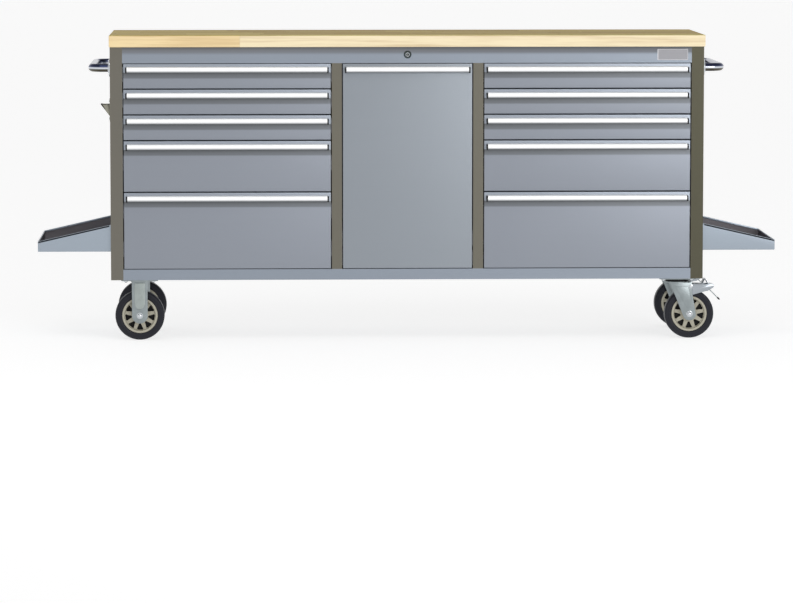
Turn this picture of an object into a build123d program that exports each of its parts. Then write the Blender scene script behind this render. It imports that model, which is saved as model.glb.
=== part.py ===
from build123d import *
import os

# A rolling workbench: a wooden top on a sheet-steel cabinet with two banks of five drawers, a tall
# pull-out between them, trays and push handles on the ends, and four wheels.
# Millimetres. X runs along the bench to the right, Y from front to back, Z up; the floor is Z = 0.

# ------------------------------------------------------------------ driving dimensions
SHEET = 1.5                     # cabinet and drawer sheet
PLATE = 4.0                     # pressed caster plate and fork steel
RUN_GAP = 0.3                   # face-to-face running clearance
PIN_GAP = 0.1                   # radial running clearance of a pin in its hole

POST_WIDTH = 38.0               # corner posts, square tube
POST_DEPTH = 40.0
PARTITION_WIDTH = 31.0          # hollow walls between the bays
SIDE_BAY_WIDTH = 642.0          # clear width of each drawer bank
CENTRE_BAY_WIDTH = 404.0        # clear width of the pull-out bay
TOP_RAIL_HEIGHT = 50.0
BOTTOM_RAIL_HEIGHT = 33.0
TOP_RAIL_FLANGE = 30.0
BOTTOM_RAIL_FLANGE = 18.0
SHALLOW_PITCH = 79.0            # height of a front with its gap
MEDIUM_PITCH = 159.0
DEEP_PITCH = 238.0
DOUBLE_SLIDE_PITCH = 200.0      # fronts taller than this ride on two pairs of slides

TOP_THICKNESS = 36.0
TOP_EDGE_RADIUS = 2.5
TOP_SIDE_OVERHANG = 2.0
TOP_FRONT_OVERHANG = 20.0
TOP_REAR_OVERHANG = 10.0

BOX_DEPTH = 400.0               # drawer box, front to back
FRONT_THICKNESS = 18.0          # folded drawer front
FRONT_LIP = 15.0                # return lips at the back of the front, screwed to the box
FRONT_GAP = 2.5                 # shadow gap round a drawer front
BOX_TOP_DROP = 6.0              # box rim below the top of its front
BOX_FLOOR_RISE = 9.0            # box floor above the bottom of its front
REAR_ROOM = 30.5                # behind the closed drawers, for the lock strips
TRAVEL = 380.0                  # full extension

SLIDE_SPACE = 12.7              # width of one slide, cabinet wall to drawer wall
SLIDE_HEIGHT = 45.0
SLIDE_STEEL = 1.2
SLIDE_SETBACK = 2.0
SLIDE_WEB_GAP = 0.6
BALL_GAP = 2.4                  # room for the balls between two members
OUTER_FREE = 2.7                # width of the slide that each member leaves free
MIDDLE_FREE = 2.2
INNER_FREE = 4.5
BUMPER_LENGTH = 10.0
SLIDE_EDGE = 52.0               # centre of a paired slide from the box's rim or floor
SLIDE_HIGH = 0.56               # centre of a single slide as a share of the box height

HANDLE_INSET = 7.0              # handle end from the edge of its front
HANDLE_DROP = 8.0               # handle top below the top of its front
HANDLE_HEIGHT = 19.0
HANDLE_PROJECTION = 20.0
HANDLE_WALL = 2.2
HANDLE_ROUND = 6.0
CAP_LENGTH = 4.5
CAP_MARGIN = 0.6                # plastic cap proud of the strip

AXLE_DROP = 113.0               # caster plate top to axle
WHEEL_DIAMETER = 152.0
WHEEL_WIDTH = 45.0
TREAD_ROUND = 7.0
RIM_DIAMETER = 110.0
RIM_WIDTH = 38.0
RIM_WALL = 8.0
RIM_RECESS = 8.0                # spoke disc below the rim's face
SPOKE_WINDOWS = 9
WINDOW_WIDTH = 15.0
WINDOW_INNER = 29.0             # radius where the windows start
HUB_DIAMETER = 40.0
HUB_LENGTH = 50.0
BUSH_DIAMETER = 20.0
AXLE_DIAMETER = 12.0
AXLE_HEAD = 19.0                # across the round head of the axle bolt
AXLE_HEAD_HEIGHT = 7.0
LEFT_CASTER_INSET = 87.0        # caster centre from the cabinet's end
RIGHT_CASTER_INSET = 75.0
CASTER_INSET_Y = 60.0           # caster centre from the cabinet's face
CASTER_PLATE_X = 114.0
CASTER_PLATE_Y = 102.0
CASTER_BOLT_X = 86.0
CASTER_BOLT_Y = 74.0
CASTER_BOLT_DIAMETER = 8.0
CASTER_BOLT_HEAD = 13.0
CASTER_BOLT_HEAD_HEIGHT = 5.5
CHANNEL_WIDTH = 130.0           # channel under the floor that carries the casters
FORK_SIDE_GAP = 2.0             # hub end to fork leg
RIGID_LEG_WIDTH = 50.0
RIGID_LEG_RIB = 2.0
TRAIL = 38.0                    # swivel axis to axle
SWIVEL_HUB_RADIUS = 22.0        # rounded foot of the swivel fork's leg
SWIVEL_LEG_FRONT = -24.0        # edges of the fork's crown from the swivel axis
SWIVEL_LEG_REAR = 48.0
RACE_DIAMETER = 74.0
RACE_HEIGHT = 8.0
KINGPIN_DIAMETER = 12.0
KINGPIN_HEAD = 24.0
KINGPIN_HEAD_HEIGHT = 7.0
PEDAL_PIN_X = 42.0              # from the swivel axis
PEDAL_PIN_DROP = 27.0           # below the caster plate's top
PEDAL_PIN_DIAMETER = 8.0
PEDAL_BARREL = 12.0
PEDAL_STEEL = 2.0
PEDAL_COVER = 1.0               # top plate above the barrel round the pin
PEDAL_SIDE_GAP = 1.1            # tyre to the pedal's side plate
PEDAL_REACH = 72.0              # pin to the pedal's end
PEDAL_TREAD_X = 46.0            # pin to the raised tread
PEDAL_TREAD_RISE = 22.0
PEDAL_SIDE_DROP = 27.0          # pin down to the lowest corner of the side plates
RELEASE_WIRE = 3.0              # diameter of the release lever's wire
RELEASE_TIP = 5.0
RELEASE_LENGTH = 30.0

TRAY_LENGTH = 225.0
TRAY_MARGIN = 17.0              # tray's cheeks from the cabinet's front and back
TRAY_HEIGHT = 87.0              # tray floor above the cabinet's underside
TRAY_BACK_WALL = 82.0
TRAY_LIP = 31.5
TRAY_TOP_FLAT = 4.0             # level stretch of the cheeks next to the cabinet

PUSH_TUBE = 25.0
PUSH_MARGIN = 34.0              # centre of the tube's legs from the cabinet's front and back
PUSH_STANDOFF = 68.0            # outer face of the tube from the cabinet's end
PUSH_BEND = 34.0
PUSH_DROP = 65.0                # tube centre below the cabinet's top
PUSH_FLANGE = 56.0
PUSH_FLANGE_THICKNESS = 4.0
PUSH_SCREW_CIRCLE = 42.0
PUSH_SCREW_HEAD = 7.0
PUSH_SCREW_HEIGHT = 2.5

OPENER_WIDTH = 44.0
OPENER_HEIGHT = 72.0
OPENER_STEEL = 3.0
OPENER_REACH = 31.0
OPENER_HOOD = 37.0
OPENER_TOP_DROP = 160.0         # plate top below the cabinet's top
OPENER_SETBACK = 60.0           # plate edge behind the cabinet's face

LOCK_BEZEL = 24.0
LOCK_BEZEL_HEIGHT = 2.5
LOCK_BARREL = 19.0
LOCK_BARREL_LENGTH = 20.0
LOCK_PLUG = 12.0
LOCK_CAM_RADIUS = 12.0          # plug axis to drive pin
LOCK_CAM_WIDTH = 10.0
LOCK_CAM_STEEL = 2.0
LOCK_PIN_DIAMETER = 4.0
LOCK_TURN = 90.0                # degrees from open to locked
LOCK_RISE = 26.0                # lock axis above the drawer opening
KEY_SLOT_WIDTH = 1.6
KEY_SLOT_LENGTH = 7.5
KEY_SLOT_DEPTH = 6.0
LOCK_BAR_HEIGHT = 16.0
LOCK_BAR_STEEL = 2.0
LOCK_STRIP_WIDTH = 20.0
LOCK_FINGER = 16.0
LOCK_FINGER_HEIGHT = 10.0
LOCK_CATCH_REACH = 12.0         # catch on a drawer's back, behind the box
LOCK_CATCH_HOOK = 20.0
LOCK_SIDE_CLEAR = 1.8           # unlocked finger to the catch's tip

BADGE_WIDTH = 94.0
BADGE_HEIGHT = 34.0
BADGE_THICKNESS = 1.5
BADGE_EDGE = 12.0               # from the end of the top rail

TRAY_BOX_HEIGHT = 124.0         # deep tray at the foot of the pull-out
TRAY_SLIDE_LOW = 24.0           # centres of its slides above the tray's floor
TRAY_SLIDE_HIGH = 84.0
CARCASS_DROP = 42.0             # pull-out walls below the top of its front
SHELF_HEIGHT = 337.0            # pull-out shelf above the tray's floor
SHELF_FLANGE = 13.0
WALL_FLANGE = 15.0
LOUVRE_DROP = 66.0              # first row of hanging louvres below the wall's top
LOUVRE_WIDTH = 42.0
LOUVRE_HEIGHT = 27.0
LOUVRE_CUT = 3.0                # width of the cut round a louvre
LOUVRE_PITCH_Y = 64.0
LOUVRE_PITCH_Z = 47.0
LOUVRE_COLUMNS = 5
LOUVRE_ROWS = 8
REAR_SLOT_WIDTH = 4.0           # upright slots in pairs near the rear wall's edges
REAR_SLOT_HEIGHT = 22.0
REAR_SLOT_PITCH = 14.0
REAR_SLOT_EDGE = 32.0
BIN_COUNT = 3
BIN_WIDTH = 108.0
BIN_GAP = 6.0
BIN_LENGTH = 172.0
BIN_HEIGHT = 82.0
BIN_LIP = 33.0                  # height of the low front wall
BIN_NOSE = 34.0                 # run of the sloping cheeks
BIN_WALL = 2.5

# ------------------------------------------------------------------ worked-out places
DRAWER_PITCHES = (SHALLOW_PITCH, SHALLOW_PITCH, SHALLOW_PITCH, MEDIUM_PITCH, DEEP_PITCH)   # top down
WHEEL_RADIUS = WHEEL_DIAMETER / 2
CABINET_WIDTH = 2 * POST_WIDTH + 2 * SIDE_BAY_WIDTH + 2 * PARTITION_WIDTH + CENTRE_BAY_WIDTH
CABINET_DEPTH = FRONT_THICKNESS + BOX_DEPTH + REAR_ROOM + SHEET
TOP_LENGTH = CABINET_WIDTH + 2 * TOP_SIDE_OVERHANG
TOP_DEPTH = CABINET_DEPTH + TOP_FRONT_OVERHANG + TOP_REAR_OVERHANG

FACE_Y = -TOP_DEPTH / 2 + TOP_FRONT_OVERHANG          # front faces of posts, rails and drawers
BACK_Y = TOP_DEPTH / 2 - TOP_REAR_OVERHANG
BACK_INNER_Y = BACK_Y - SHEET
BOX_FRONT_Y = FACE_Y + FRONT_THICKNESS
BOX_BACK_Y = BOX_FRONT_Y + BOX_DEPTH
SLIDE_FRONT_Y = BOX_FRONT_Y + SLIDE_SETBACK
SLIDE_BACK_Y = BOX_BACK_Y - SLIDE_SETBACK

BODY_BOTTOM = WHEEL_RADIUS + AXLE_DROP
OPENING_BOTTOM = BODY_BOTTOM + BOTTOM_RAIL_HEIGHT
OPENING_TOP = OPENING_BOTTOM + sum(DRAWER_PITCHES)
BODY_TOP = OPENING_TOP + TOP_RAIL_HEIGHT
BENCH_TOP = BODY_TOP + TOP_THICKNESS

END_X = CABINET_WIDTH / 2
INNER_X = END_X - POST_WIDTH
PARTITION_X = CENTRE_BAY_WIDTH / 2 + PARTITION_WIDTH / 2
BAYS = {
    "left": (-INNER_X, -INNER_X + SIDE_BAY_WIDTH),
    "centre": (-CENTRE_BAY_WIDTH / 2, CENTRE_BAY_WIDTH / 2),
    "right": (INNER_X - SIDE_BAY_WIDTH, INNER_X),
}

BOLT_HOLE = CASTER_BOLT_DIAMETER / 2 + RUN_GAP
RIGID_X = LEFT_CASTER_INSET - END_X
SWIVEL_X = END_X - RIGHT_CASTER_INSET
CASTER_FRONT_Y = FACE_Y + CASTER_INSET_Y
CASTER_REAR_Y = BACK_Y - CASTER_INSET_Y
PLATE_BOTTOM = BODY_BOTTOM - PLATE
LEG_INNER = HUB_LENGTH / 2 + FORK_SIDE_GAP
LEG_OUTER = LEG_INNER + PLATE

LOCK_Z = OPENING_TOP + LOCK_RISE
LOCK_CAM_Y = FACE_Y + LOCK_BARREL_LENGTH + RUN_GAP
LOCK_BAR_Y = LOCK_CAM_Y + LOCK_CAM_STEEL + RUN_GAP
LOCK_SWING = LOCK_CAM_RADIUS * 2 ** 0.5               # travel of the lock bar for a quarter turn
CATCH_HOOK_Y = BOX_BACK_Y + LOCK_CATCH_REACH
STRIP_Y = CATCH_HOOK_Y + LOCK_BAR_STEEL

TRAY_FLOOR_Z = OPENING_BOTTOM + FRONT_GAP / 2 + BOX_FLOOR_RISE - SHEET
SHELF_Z = TRAY_FLOOR_Z + SHELF_HEIGHT
CARCASS_TOP = OPENING_TOP - FRONT_GAP / 2 - CARCASS_DROP
PULLOUT_HALF = CENTRE_BAY_WIDTH / 2 - SLIDE_SPACE      # outer face of the pull-out's tray


# ------------------------------------------------------------------ shape helpers
def block(x0, x1, y0, y1, z0, z1):
    """A block between two corners."""
    corner = (Align.MIN, Align.MIN, Align.MIN)
    return Pos(x0, y0, z0) * Box(x1 - x0, y1 - y0, z1 - z0, align=corner)


def along_x(points, x0, x1):
    """A closed Y-Z outline carried from x0 to x1."""
    outline = make_face(Plane.YZ * Polyline(*points, close=True))
    return Pos(x0, 0, 0) * extrude(outline, x1 - x0, dir=(1, 0, 0))


def along_y(points, y0, y1):
    """A closed X-Z outline carried from y0 to y1."""
    outline = make_face(Plane.XZ * Polyline(*points, close=True))
    return Pos(0, y1, 0) * extrude(outline, y1 - y0, dir=(0, -1, 0))


def rod_y(x, z, radius, y0, y1):
    """A round bar along Y."""
    bar = Cylinder(radius, y1 - y0, align=(Align.CENTER, Align.CENTER, Align.MIN))
    return Pos(x, y0, z) * Rot(-90, 0, 0) * bar


def rod_z(x, y, radius, z0, z1):
    """A round bar along Z."""
    return Pos(x, y, z0) * Cylinder(radius, z1 - z0, align=(Align.CENTER, Align.CENTER, Align.MIN))


def hexagon_z(x, y, across_flats, z0, z1):
    """A six-sided bolt head or nut along Z."""
    outline = RegularPolygon(across_flats / 2, 6, major_radius=False)
    return Pos(x, y, z0) * extrude(outline, z1 - z0)


def one(shape):
    """The single solid that a cut or a join leaves."""
    return shape.solids()[0]


def mirrored(shapes):
    """The same solids on the other side of the middle plane X = 0."""
    return [mirror(shape, about=Plane.YZ) for shape in shapes]


# ------------------------------------------------------------------ cabinet
def worktop():
    board = block(-TOP_LENGTH / 2, TOP_LENGTH / 2, -TOP_DEPTH / 2, TOP_DEPTH / 2, BODY_TOP, BENCH_TOP)
    return [fillet(board.edges(), TOP_EDGE_RADIUS)]


def side_panels():
    """End sheets between the corner posts, flanged inwards at the top, bottom and both ends."""
    y0, y1 = FACE_Y + POST_DEPTH, BACK_Y - POST_DEPTH
    flange = POST_WIDTH - SHEET
    right = block(END_X - SHEET, END_X, y0, y1, BODY_BOTTOM, BODY_TOP)
    for z in (BODY_BOTTOM, BODY_TOP - SHEET):
        right += block(END_X - flange, END_X, y0, y1, z, z + SHEET)
    for y in (y0, y1 - SHEET):
        right += block(END_X - flange, END_X, y, y + SHEET, BODY_BOTTOM, BODY_TOP)
    sides = []
    for side in [one(right)] + mirrored([one(right)]):
        for x in (RIGID_X, SWIVEL_X):
            for y in (CASTER_FRONT_Y, CASTER_REAR_Y):
                for bolt_x, bolt_y in bolt_places(x, y):
                    side -= rod_z(bolt_x, bolt_y, BOLT_HOLE, BODY_BOTTOM, BODY_BOTTOM + SHEET)
        sides.append(one(side))
    return sides


def back_panel():
    return [block(-INNER_X, INNER_X, BACK_INNER_Y, BACK_Y, BODY_BOTTOM, BODY_TOP)]


def base_pan():
    """Cabinet floor with turned-down ends, and the two channels that carry the casters."""
    top = OPENING_BOTTOM
    y0, y1 = FACE_Y + BOTTOM_RAIL_FLANGE, BACK_INNER_Y
    floor = block(-INNER_X, INNER_X, y0, y1, top - SHEET, top)
    for x in (-INNER_X, INNER_X - SHEET):
        floor += block(x, x + SHEET, y0, y1, BODY_BOTTOM, top)
    channels = []
    for caster_x in (RIGID_X, SWIVEL_X):
        x0 = max(caster_x - CHANNEL_WIDTH / 2, SHEET - INNER_X)
        x1 = min(caster_x + CHANNEL_WIDTH / 2, INNER_X - SHEET)
        outer = block(x0, x1, y0, y1, BODY_BOTTOM, top - SHEET)
        channel = outer - block(x0 + SHEET, x1 - SHEET, y0, y1, BODY_BOTTOM + SHEET, top - SHEET)
        for y in (CASTER_FRONT_Y, CASTER_REAR_Y):
            for bolt_x, bolt_y in bolt_places(caster_x, y):
                channel -= rod_z(bolt_x, bolt_y, BOLT_HOLE, BODY_BOTTOM, BODY_BOTTOM + SHEET)
        channels.append(one(channel))
    return [one(floor)] + channels


def rail(z0, z1, flange):
    """A front rail folded from sheet, open at the back."""
    outer = block(-INNER_X, INNER_X, FACE_Y, FACE_Y + flange, z0, z1)
    inner = block(-INNER_X, INNER_X, FACE_Y + SHEET, FACE_Y + flange, z0 + SHEET, z1 - SHEET)
    return one(outer - inner)


def front_frame():
    """Two front and two rear corner posts, and the rails between the front ones."""
    posts = []
    for x in (-END_X, INNER_X):
        for y in (FACE_Y, BACK_Y - POST_DEPTH):
            outer = block(x, x + POST_WIDTH, y, y + POST_DEPTH, BODY_BOTTOM, BODY_TOP)
            inner = block(x + SHEET, x + POST_WIDTH - SHEET, y + SHEET, y + POST_DEPTH - SHEET,
                          BODY_BOTTOM, BODY_TOP)
            posts.append(one(outer - inner))
    top_rail = rail(OPENING_TOP, BODY_TOP, TOP_RAIL_FLANGE)
    top_rail = one(top_rail - rod_y(0, LOCK_Z, LOCK_BARREL / 2 + PIN_GAP, FACE_Y, FACE_Y + SHEET))
    bottom_rail = rail(BODY_BOTTOM, OPENING_BOTTOM, BOTTOM_RAIL_FLANGE)
    return posts + [top_rail, bottom_rail]


def partitions():
    """Hollow walls between the bays; their front edges show as posts."""
    walls = []
    for side in (-1, 1):
        x0 = side * PARTITION_X - PARTITION_WIDTH / 2
        x1 = x0 + PARTITION_WIDTH
        outer = block(x0, x1, FACE_Y, BACK_INNER_Y, OPENING_BOTTOM, OPENING_TOP)
        inner = block(x0 + SHEET, x1 - SHEET, FACE_Y + SHEET, BACK_INNER_Y - SHEET,
                      OPENING_BOTTOM, OPENING_TOP)
        walls.append(one(outer - inner))
    return walls


def brace_centres():
    """X of the cross braces: over the posts, the partitions and the middle of each drawer bank."""
    outer = INNER_X - POST_WIDTH / 2
    middle = (INNER_X + PARTITION_X) / 2
    return [side * x for x in (outer, middle, PARTITION_X) for side in (-1, 1)]


def top_braces():
    """Channels under the worktop, from the top rail to the back panel."""
    y0, y1 = FACE_Y + TOP_RAIL_FLANGE, BACK_INNER_Y
    braces = []
    for x in brace_centres():
        x0, x1 = x - POST_WIDTH / 2, x + POST_WIDTH / 2
        outer = block(x0, x1, y0, y1, OPENING_TOP, BODY_TOP)
        inner = block(x0 + SHEET, x1 - SHEET, y0, y1, OPENING_TOP, BODY_TOP - SHEET)
        braces.append(one(outer - inner))
    return braces


def badge_plate():
    """A bare plate on the right end of the top rail."""
    x1 = INNER_X - BADGE_EDGE
    middle = (OPENING_TOP + BODY_TOP) / 2
    y0 = FACE_Y - BADGE_THICKNESS
    plate = block(x1 - BADGE_WIDTH, x1, y0, FACE_Y, middle - BADGE_HEIGHT / 2, middle + BADGE_HEIGHT / 2)
    return [plate]


# ------------------------------------------------------------------ slides
# Each member is a channel. Widths are measured from the cabinet's wall towards the drawer.
MIDDLE_WEB = SLIDE_STEEL + SLIDE_WEB_GAP
MIDDLE_HALF = SLIDE_HEIGHT / 2 - SLIDE_STEEL - BALL_GAP
INNER_HALF = MIDDLE_HALF - SLIDE_STEEL - BALL_GAP
OUTER_DEPTH = SLIDE_SPACE - OUTER_FREE
MIDDLE_DEPTH = SLIDE_SPACE - MIDDLE_FREE
INNER_DEPTH = SLIDE_SPACE - INNER_FREE


def channel_x(wall_x, inward, web, tip, half, y0, y1, z):
    """A slide member: its web at width web, its two flanges reaching to width tip."""
    low, high = sorted((web, tip))
    thick = SLIDE_STEEL if tip > web else -SLIDE_STEEL
    xs = sorted((wall_x + inward * low, wall_x + inward * high))
    cut = sorted((wall_x + inward * (web + thick), wall_x + inward * tip))
    outer = block(*xs, y0, y1, z - half, z + half)
    inner = block(*cut, y0, y1, z - half + SLIDE_STEEL, z + half - SLIDE_STEEL)
    return one(outer - inner)


def slide_heights(top, bottom):
    """Centre heights of the slides on a box between those two heights."""
    if top - bottom > DOUBLE_SLIDE_PITCH - BOX_TOP_DROP - BOX_FLOOR_RISE:
        return [bottom + SLIDE_EDGE, top - SLIDE_EDGE]
    return [bottom + SLIDE_HIGH * (top - bottom)]


def cabinet_member(wall_x, inward, z):
    half = SLIDE_HEIGHT / 2
    return channel_x(wall_x, inward, 0, OUTER_DEPTH, half, SLIDE_FRONT_Y, SLIDE_BACK_Y, z)


def middle_member(wall_x, inward, z):
    """The member that moves half way, its four ball rows and its front bumper."""
    y0 = SLIDE_FRONT_Y + BUMPER_LENGTH
    web = MIDDLE_WEB
    pieces = [channel_x(wall_x, inward, web, MIDDLE_DEPTH, MIDDLE_HALF, y0, SLIDE_BACK_Y, z)]
    half_way = (SLIDE_FRONT_Y + SLIDE_BACK_Y) / 2
    row_x = sorted((wall_x + inward * (web + BALL_GAP), wall_x + inward * (MIDDLE_DEPTH - SLIDE_STEEL)))
    for side in (-1, 1):
        near = sorted((z + side * MIDDLE_HALF, z + side * (MIDDLE_HALF + BALL_GAP - RUN_GAP)))
        pieces.append(block(*row_x, half_way, SLIDE_BACK_Y, *near))
        inside = MIDDLE_HALF - SLIDE_STEEL
        far = sorted((z + side * inside, z + side * (INNER_HALF + RUN_GAP)))
        pieces.append(block(*row_x, y0, half_way, *far))
    bumper_x = sorted((wall_x + inward * web, wall_x + inward * MIDDLE_DEPTH))
    bumper_half = INNER_HALF - SLIDE_STEEL - RUN_GAP
    pieces.append(block(*bumper_x, SLIDE_FRONT_Y, y0, z - bumper_half, z + bumper_half))
    return pieces


def drawer_member(wall_x, inward, z):
    tip = SLIDE_SPACE - INNER_DEPTH
    return channel_x(wall_x, inward, SLIDE_SPACE, tip, INNER_HALF, SLIDE_FRONT_Y, SLIDE_BACK_Y, z)


def on_both_walls(bay, make):
    """Calls make for the bay's left wall and for its right wall."""
    left, right = BAYS[bay]
    return make(left, 1) + make(right, -1)


# ------------------------------------------------------------------ drawers
def handle(x0, x1, top):
    """A hooked aluminium strip with a plastic cap on each end; top is the upper edge of its front."""
    z1 = top - HANDLE_DROP
    z0 = z1 - HANDLE_HEIGHT
    y0 = FACE_Y - HANDLE_PROJECTION
    wall = HANDLE_WALL
    outline = [(FACE_Y, z0), (FACE_Y, z1), (y0, z1), (y0, z0 + wall), (y0 + wall, z0 + wall),
               (y0 + wall, z1 - wall), (FACE_Y - wall, z1 - wall), (FACE_Y - wall, z0)]
    strip = along_x(outline, x0 + CAP_LENGTH, x1 - CAP_LENGTH)
    crown = strip.edges().filter_by(Axis.X).filter_by_position(Axis.Y, y0 - 1, y0 + 1)
    crown = crown.filter_by_position(Axis.Z, z1 - 1, z1 + 1)
    strip = fillet(crown, HANDLE_ROUND)
    nook = strip.edges().filter_by(Axis.X).filter_by_position(Axis.Y, y0 + wall / 2, y0 + 1.5 * wall)
    nook = nook.filter_by_position(Axis.Z, z1 - 1.5 * wall, z1 - wall / 2)
    strip = fillet(nook, HANDLE_ROUND - wall)
    caps = []
    for x in (x0, x1 - CAP_LENGTH):
        cap = block(x, x + CAP_LENGTH, y0, FACE_Y, z0 - CAP_MARGIN, z1 + CAP_MARGIN)
        nose = cap.edges().filter_by(Axis.X).filter_by_position(Axis.Y, y0 - 1, y0 + 1)
        caps.append(fillet(nose, HANDLE_ROUND))
    return [strip] + caps


def folded_front(bay, z0, z1):
    """A drawer front folded from sheet, hollow inside with return lips, and its handle."""
    left, right = BAYS[bay]
    x0, x1 = left + FRONT_GAP, right - FRONT_GAP
    z0, z1 = z0 + FRONT_GAP / 2, z1 - FRONT_GAP / 2
    lip = FRONT_LIP
    outer = block(x0, x1, FACE_Y, BOX_FRONT_Y, z0, z1)
    inner = block(x0 + SHEET, x1 - SHEET, FACE_Y + SHEET, BOX_FRONT_Y - SHEET, z0 + SHEET, z1 - SHEET)
    back = block(x0 + lip, x1 - lip, BOX_FRONT_Y - SHEET, BOX_FRONT_Y, z0 + lip, z1 - lip)
    return [one(outer - inner - back)] + handle(x0 + HANDLE_INSET, x1 - HANDLE_INSET, z1)


def box_span(z0, z1):
    """Underside and rim of the box behind a front that takes the opening from z0 to z1."""
    return z0 + FRONT_GAP / 2 + BOX_FLOOR_RISE - SHEET, z1 - FRONT_GAP / 2 - BOX_TOP_DROP


def open_box(x0, x1, z0, z1):
    outer = block(x0, x1, BOX_FRONT_Y, BOX_BACK_Y, z0, z1)
    return one(outer - block(x0 + SHEET, x1 - SHEET, BOX_FRONT_Y + SHEET, BOX_BACK_Y - SHEET, z0 + SHEET, z1))


def welded_box(x0, x1, z0, z1):
    """An open box of five sheets: the floor and two end walls stand between the side walls."""
    y0, y1 = BOX_FRONT_Y, BOX_BACK_Y
    floor = block(x0 + SHEET, x1 - SHEET, y0 + SHEET, y1 - SHEET, z0, z0 + SHEET)
    ends = [block(x0 + SHEET, x1 - SHEET, y, y + SHEET, z0, z1) for y in (y0, y1 - SHEET)]
    return [floor] + ends + [block(x, x + SHEET, y0, y1, z0, z1) for x in (x0, x1 - SHEET)]


def catch(bay, z):
    """The hook on a drawer's back that the lock strip's finger catches."""
    x = catch_x(bay)
    y0, y1 = BOX_BACK_Y, CATCH_HOOK_Y
    half = LOCK_FINGER_HEIGHT / 2
    stem = block(x, x + LOCK_BAR_STEEL, y0, y1, z - half, z + half)
    hook = block(x, x + LOCK_CATCH_HOOK, y1 - LOCK_BAR_STEEL, y1, z - half, z + half)
    return one(stem + hook)


def drawer_box(bay, z0, z1):
    """An open box, the slide members on its sides and the lock catch on its back."""
    left, right = BAYS[bay]
    bottom, top = box_span(z0, z1)
    pieces = welded_box(left + SLIDE_SPACE, right - SLIDE_SPACE, bottom, top)
    for z in slide_heights(top, bottom):
        pieces += on_both_walls(bay, lambda x, inward: [drawer_member(x, inward, z)])
    return pieces + [catch(bay, (bottom + top) / 2)]


def drawer_slides(bay, z0, z1):
    bottom, top = box_span(z0, z1)
    pieces = []
    for z in slide_heights(top, bottom):
        pieces += on_both_walls(bay, lambda x, inward: middle_member(x, inward, z))
    return pieces


def drawer_levels():
    """(number, lower, upper) of each front's share of the opening, from the top down."""
    levels, top = [], OPENING_TOP
    for number, pitch in enumerate(DRAWER_PITCHES, 1):
        levels.append((number, top - pitch, top))
        top -= pitch
    return levels


# ------------------------------------------------------------------ centre pull-out
def pullout_slide_heights():
    """Two pairs of slides on the pull-out's deep tray."""
    return [TRAY_FLOOR_Z + TRAY_SLIDE_LOW, TRAY_FLOOR_Z + TRAY_SLIDE_HIGH]


def louvre_rows():
    """Heights of the louvres, from the top down."""
    return [CARCASS_TOP - LOUVRE_DROP - k * LOUVRE_PITCH_Z for k in range(LOUVRE_ROWS)]


def louvre_cut(x0, x1, y, z):
    """The cut round three sides of a hanging louvre, open towards the back."""
    y0, y1 = y - LOUVRE_WIDTH / 2, y + LOUVRE_WIDTH / 2
    z0, z1 = z - LOUVRE_HEIGHT / 2, z + LOUVRE_HEIGHT / 2
    outer = block(x0, x1, y0, y1, z0, z1)
    return outer - block(x0, x1, y0 + LOUVRE_CUT, y1, z0 + LOUVRE_CUT, z1 - LOUVRE_CUT)


def louvred(wall, x0, x1):
    """Cuts the grid of hanging louvres through the end wall."""
    middle = (BOX_FRONT_Y + BOX_BACK_Y) / 2
    first = middle - (LOUVRE_COLUMNS - 1) / 2 * LOUVRE_PITCH_Y
    cuts = [louvre_cut(x0, x1, first + column * LOUVRE_PITCH_Y, z)
            for column in range(LOUVRE_COLUMNS) for z in louvre_rows()]
    return one(wall - cuts)


def rear_slotted(wall, y0, y1):
    """Cuts the pairs of upright slots near both edges of the rear wall."""
    outer = PULLOUT_HALF - REAR_SLOT_EDGE
    cuts = []
    for side in (-1, 1):
        for x in (side * outer, side * (outer - REAR_SLOT_PITCH)):
            for z in louvre_rows():
                cuts.append(block(x - REAR_SLOT_WIDTH / 2, x + REAR_SLOT_WIDTH / 2, y0, y1,
                                  z - REAR_SLOT_HEIGHT / 2, z + REAR_SLOT_HEIGHT / 2))
    return one(wall - cuts)


def pullout_carcass():
    """Deep tray with its slide members and catch, a louvred end wall and a slotted rear wall."""
    z0 = TRAY_FLOOR_Z
    tray = open_box(-PULLOUT_HALF, PULLOUT_HALF, z0, z0 + TRAY_BOX_HEIGHT)
    x0 = -PULLOUT_HALF + SHEET
    y1 = BOX_BACK_Y - SHEET
    end_wall = block(x0, x0 + SHEET, BOX_FRONT_Y + SHEET, y1, z0 + SHEET, CARCASS_TOP)
    end_wall += block(x0, x0 + WALL_FLANGE, BOX_FRONT_Y + SHEET, y1 - SHEET, CARCASS_TOP - SHEET, CARCASS_TOP)
    end_wall = louvred(end_wall, x0, x0 + SHEET)
    rear_wall = block(x0 + SHEET, PULLOUT_HALF - SHEET, y1 - SHEET, y1, z0 + SHEET, CARCASS_TOP)
    pieces = [tray, end_wall, rear_slotted(rear_wall, y1 - SHEET, y1)]
    for z in pullout_slide_heights():
        pieces += on_both_walls("centre", lambda x, inward: [drawer_member(x, inward, z)])
    return pieces + [catch("centre", z0 + TRAY_BOX_HEIGHT / 2)]


def pullout_shelf():
    """A shelf across the pull-out, flanged down on all four edges."""
    x0, x1 = -PULLOUT_HALF + 2 * SHEET, PULLOUT_HALF - SHEET
    y0, y1 = BOX_FRONT_Y, BOX_BACK_Y - 2 * SHEET
    z0, z1 = SHELF_Z - SHELF_FLANGE, SHELF_Z
    outer = block(x0, x1, y0, y1, z0, z1)
    return [one(outer - block(x0 + SHEET, x1 - SHEET, y0 + SHEET, y1 - SHEET, z0, z1 - SHEET))]


def bin_front_x():
    """X of the bins' low fronts, flush with the shelf's open edge."""
    return PULLOUT_HALF - SHEET - BIN_GAP


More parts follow.
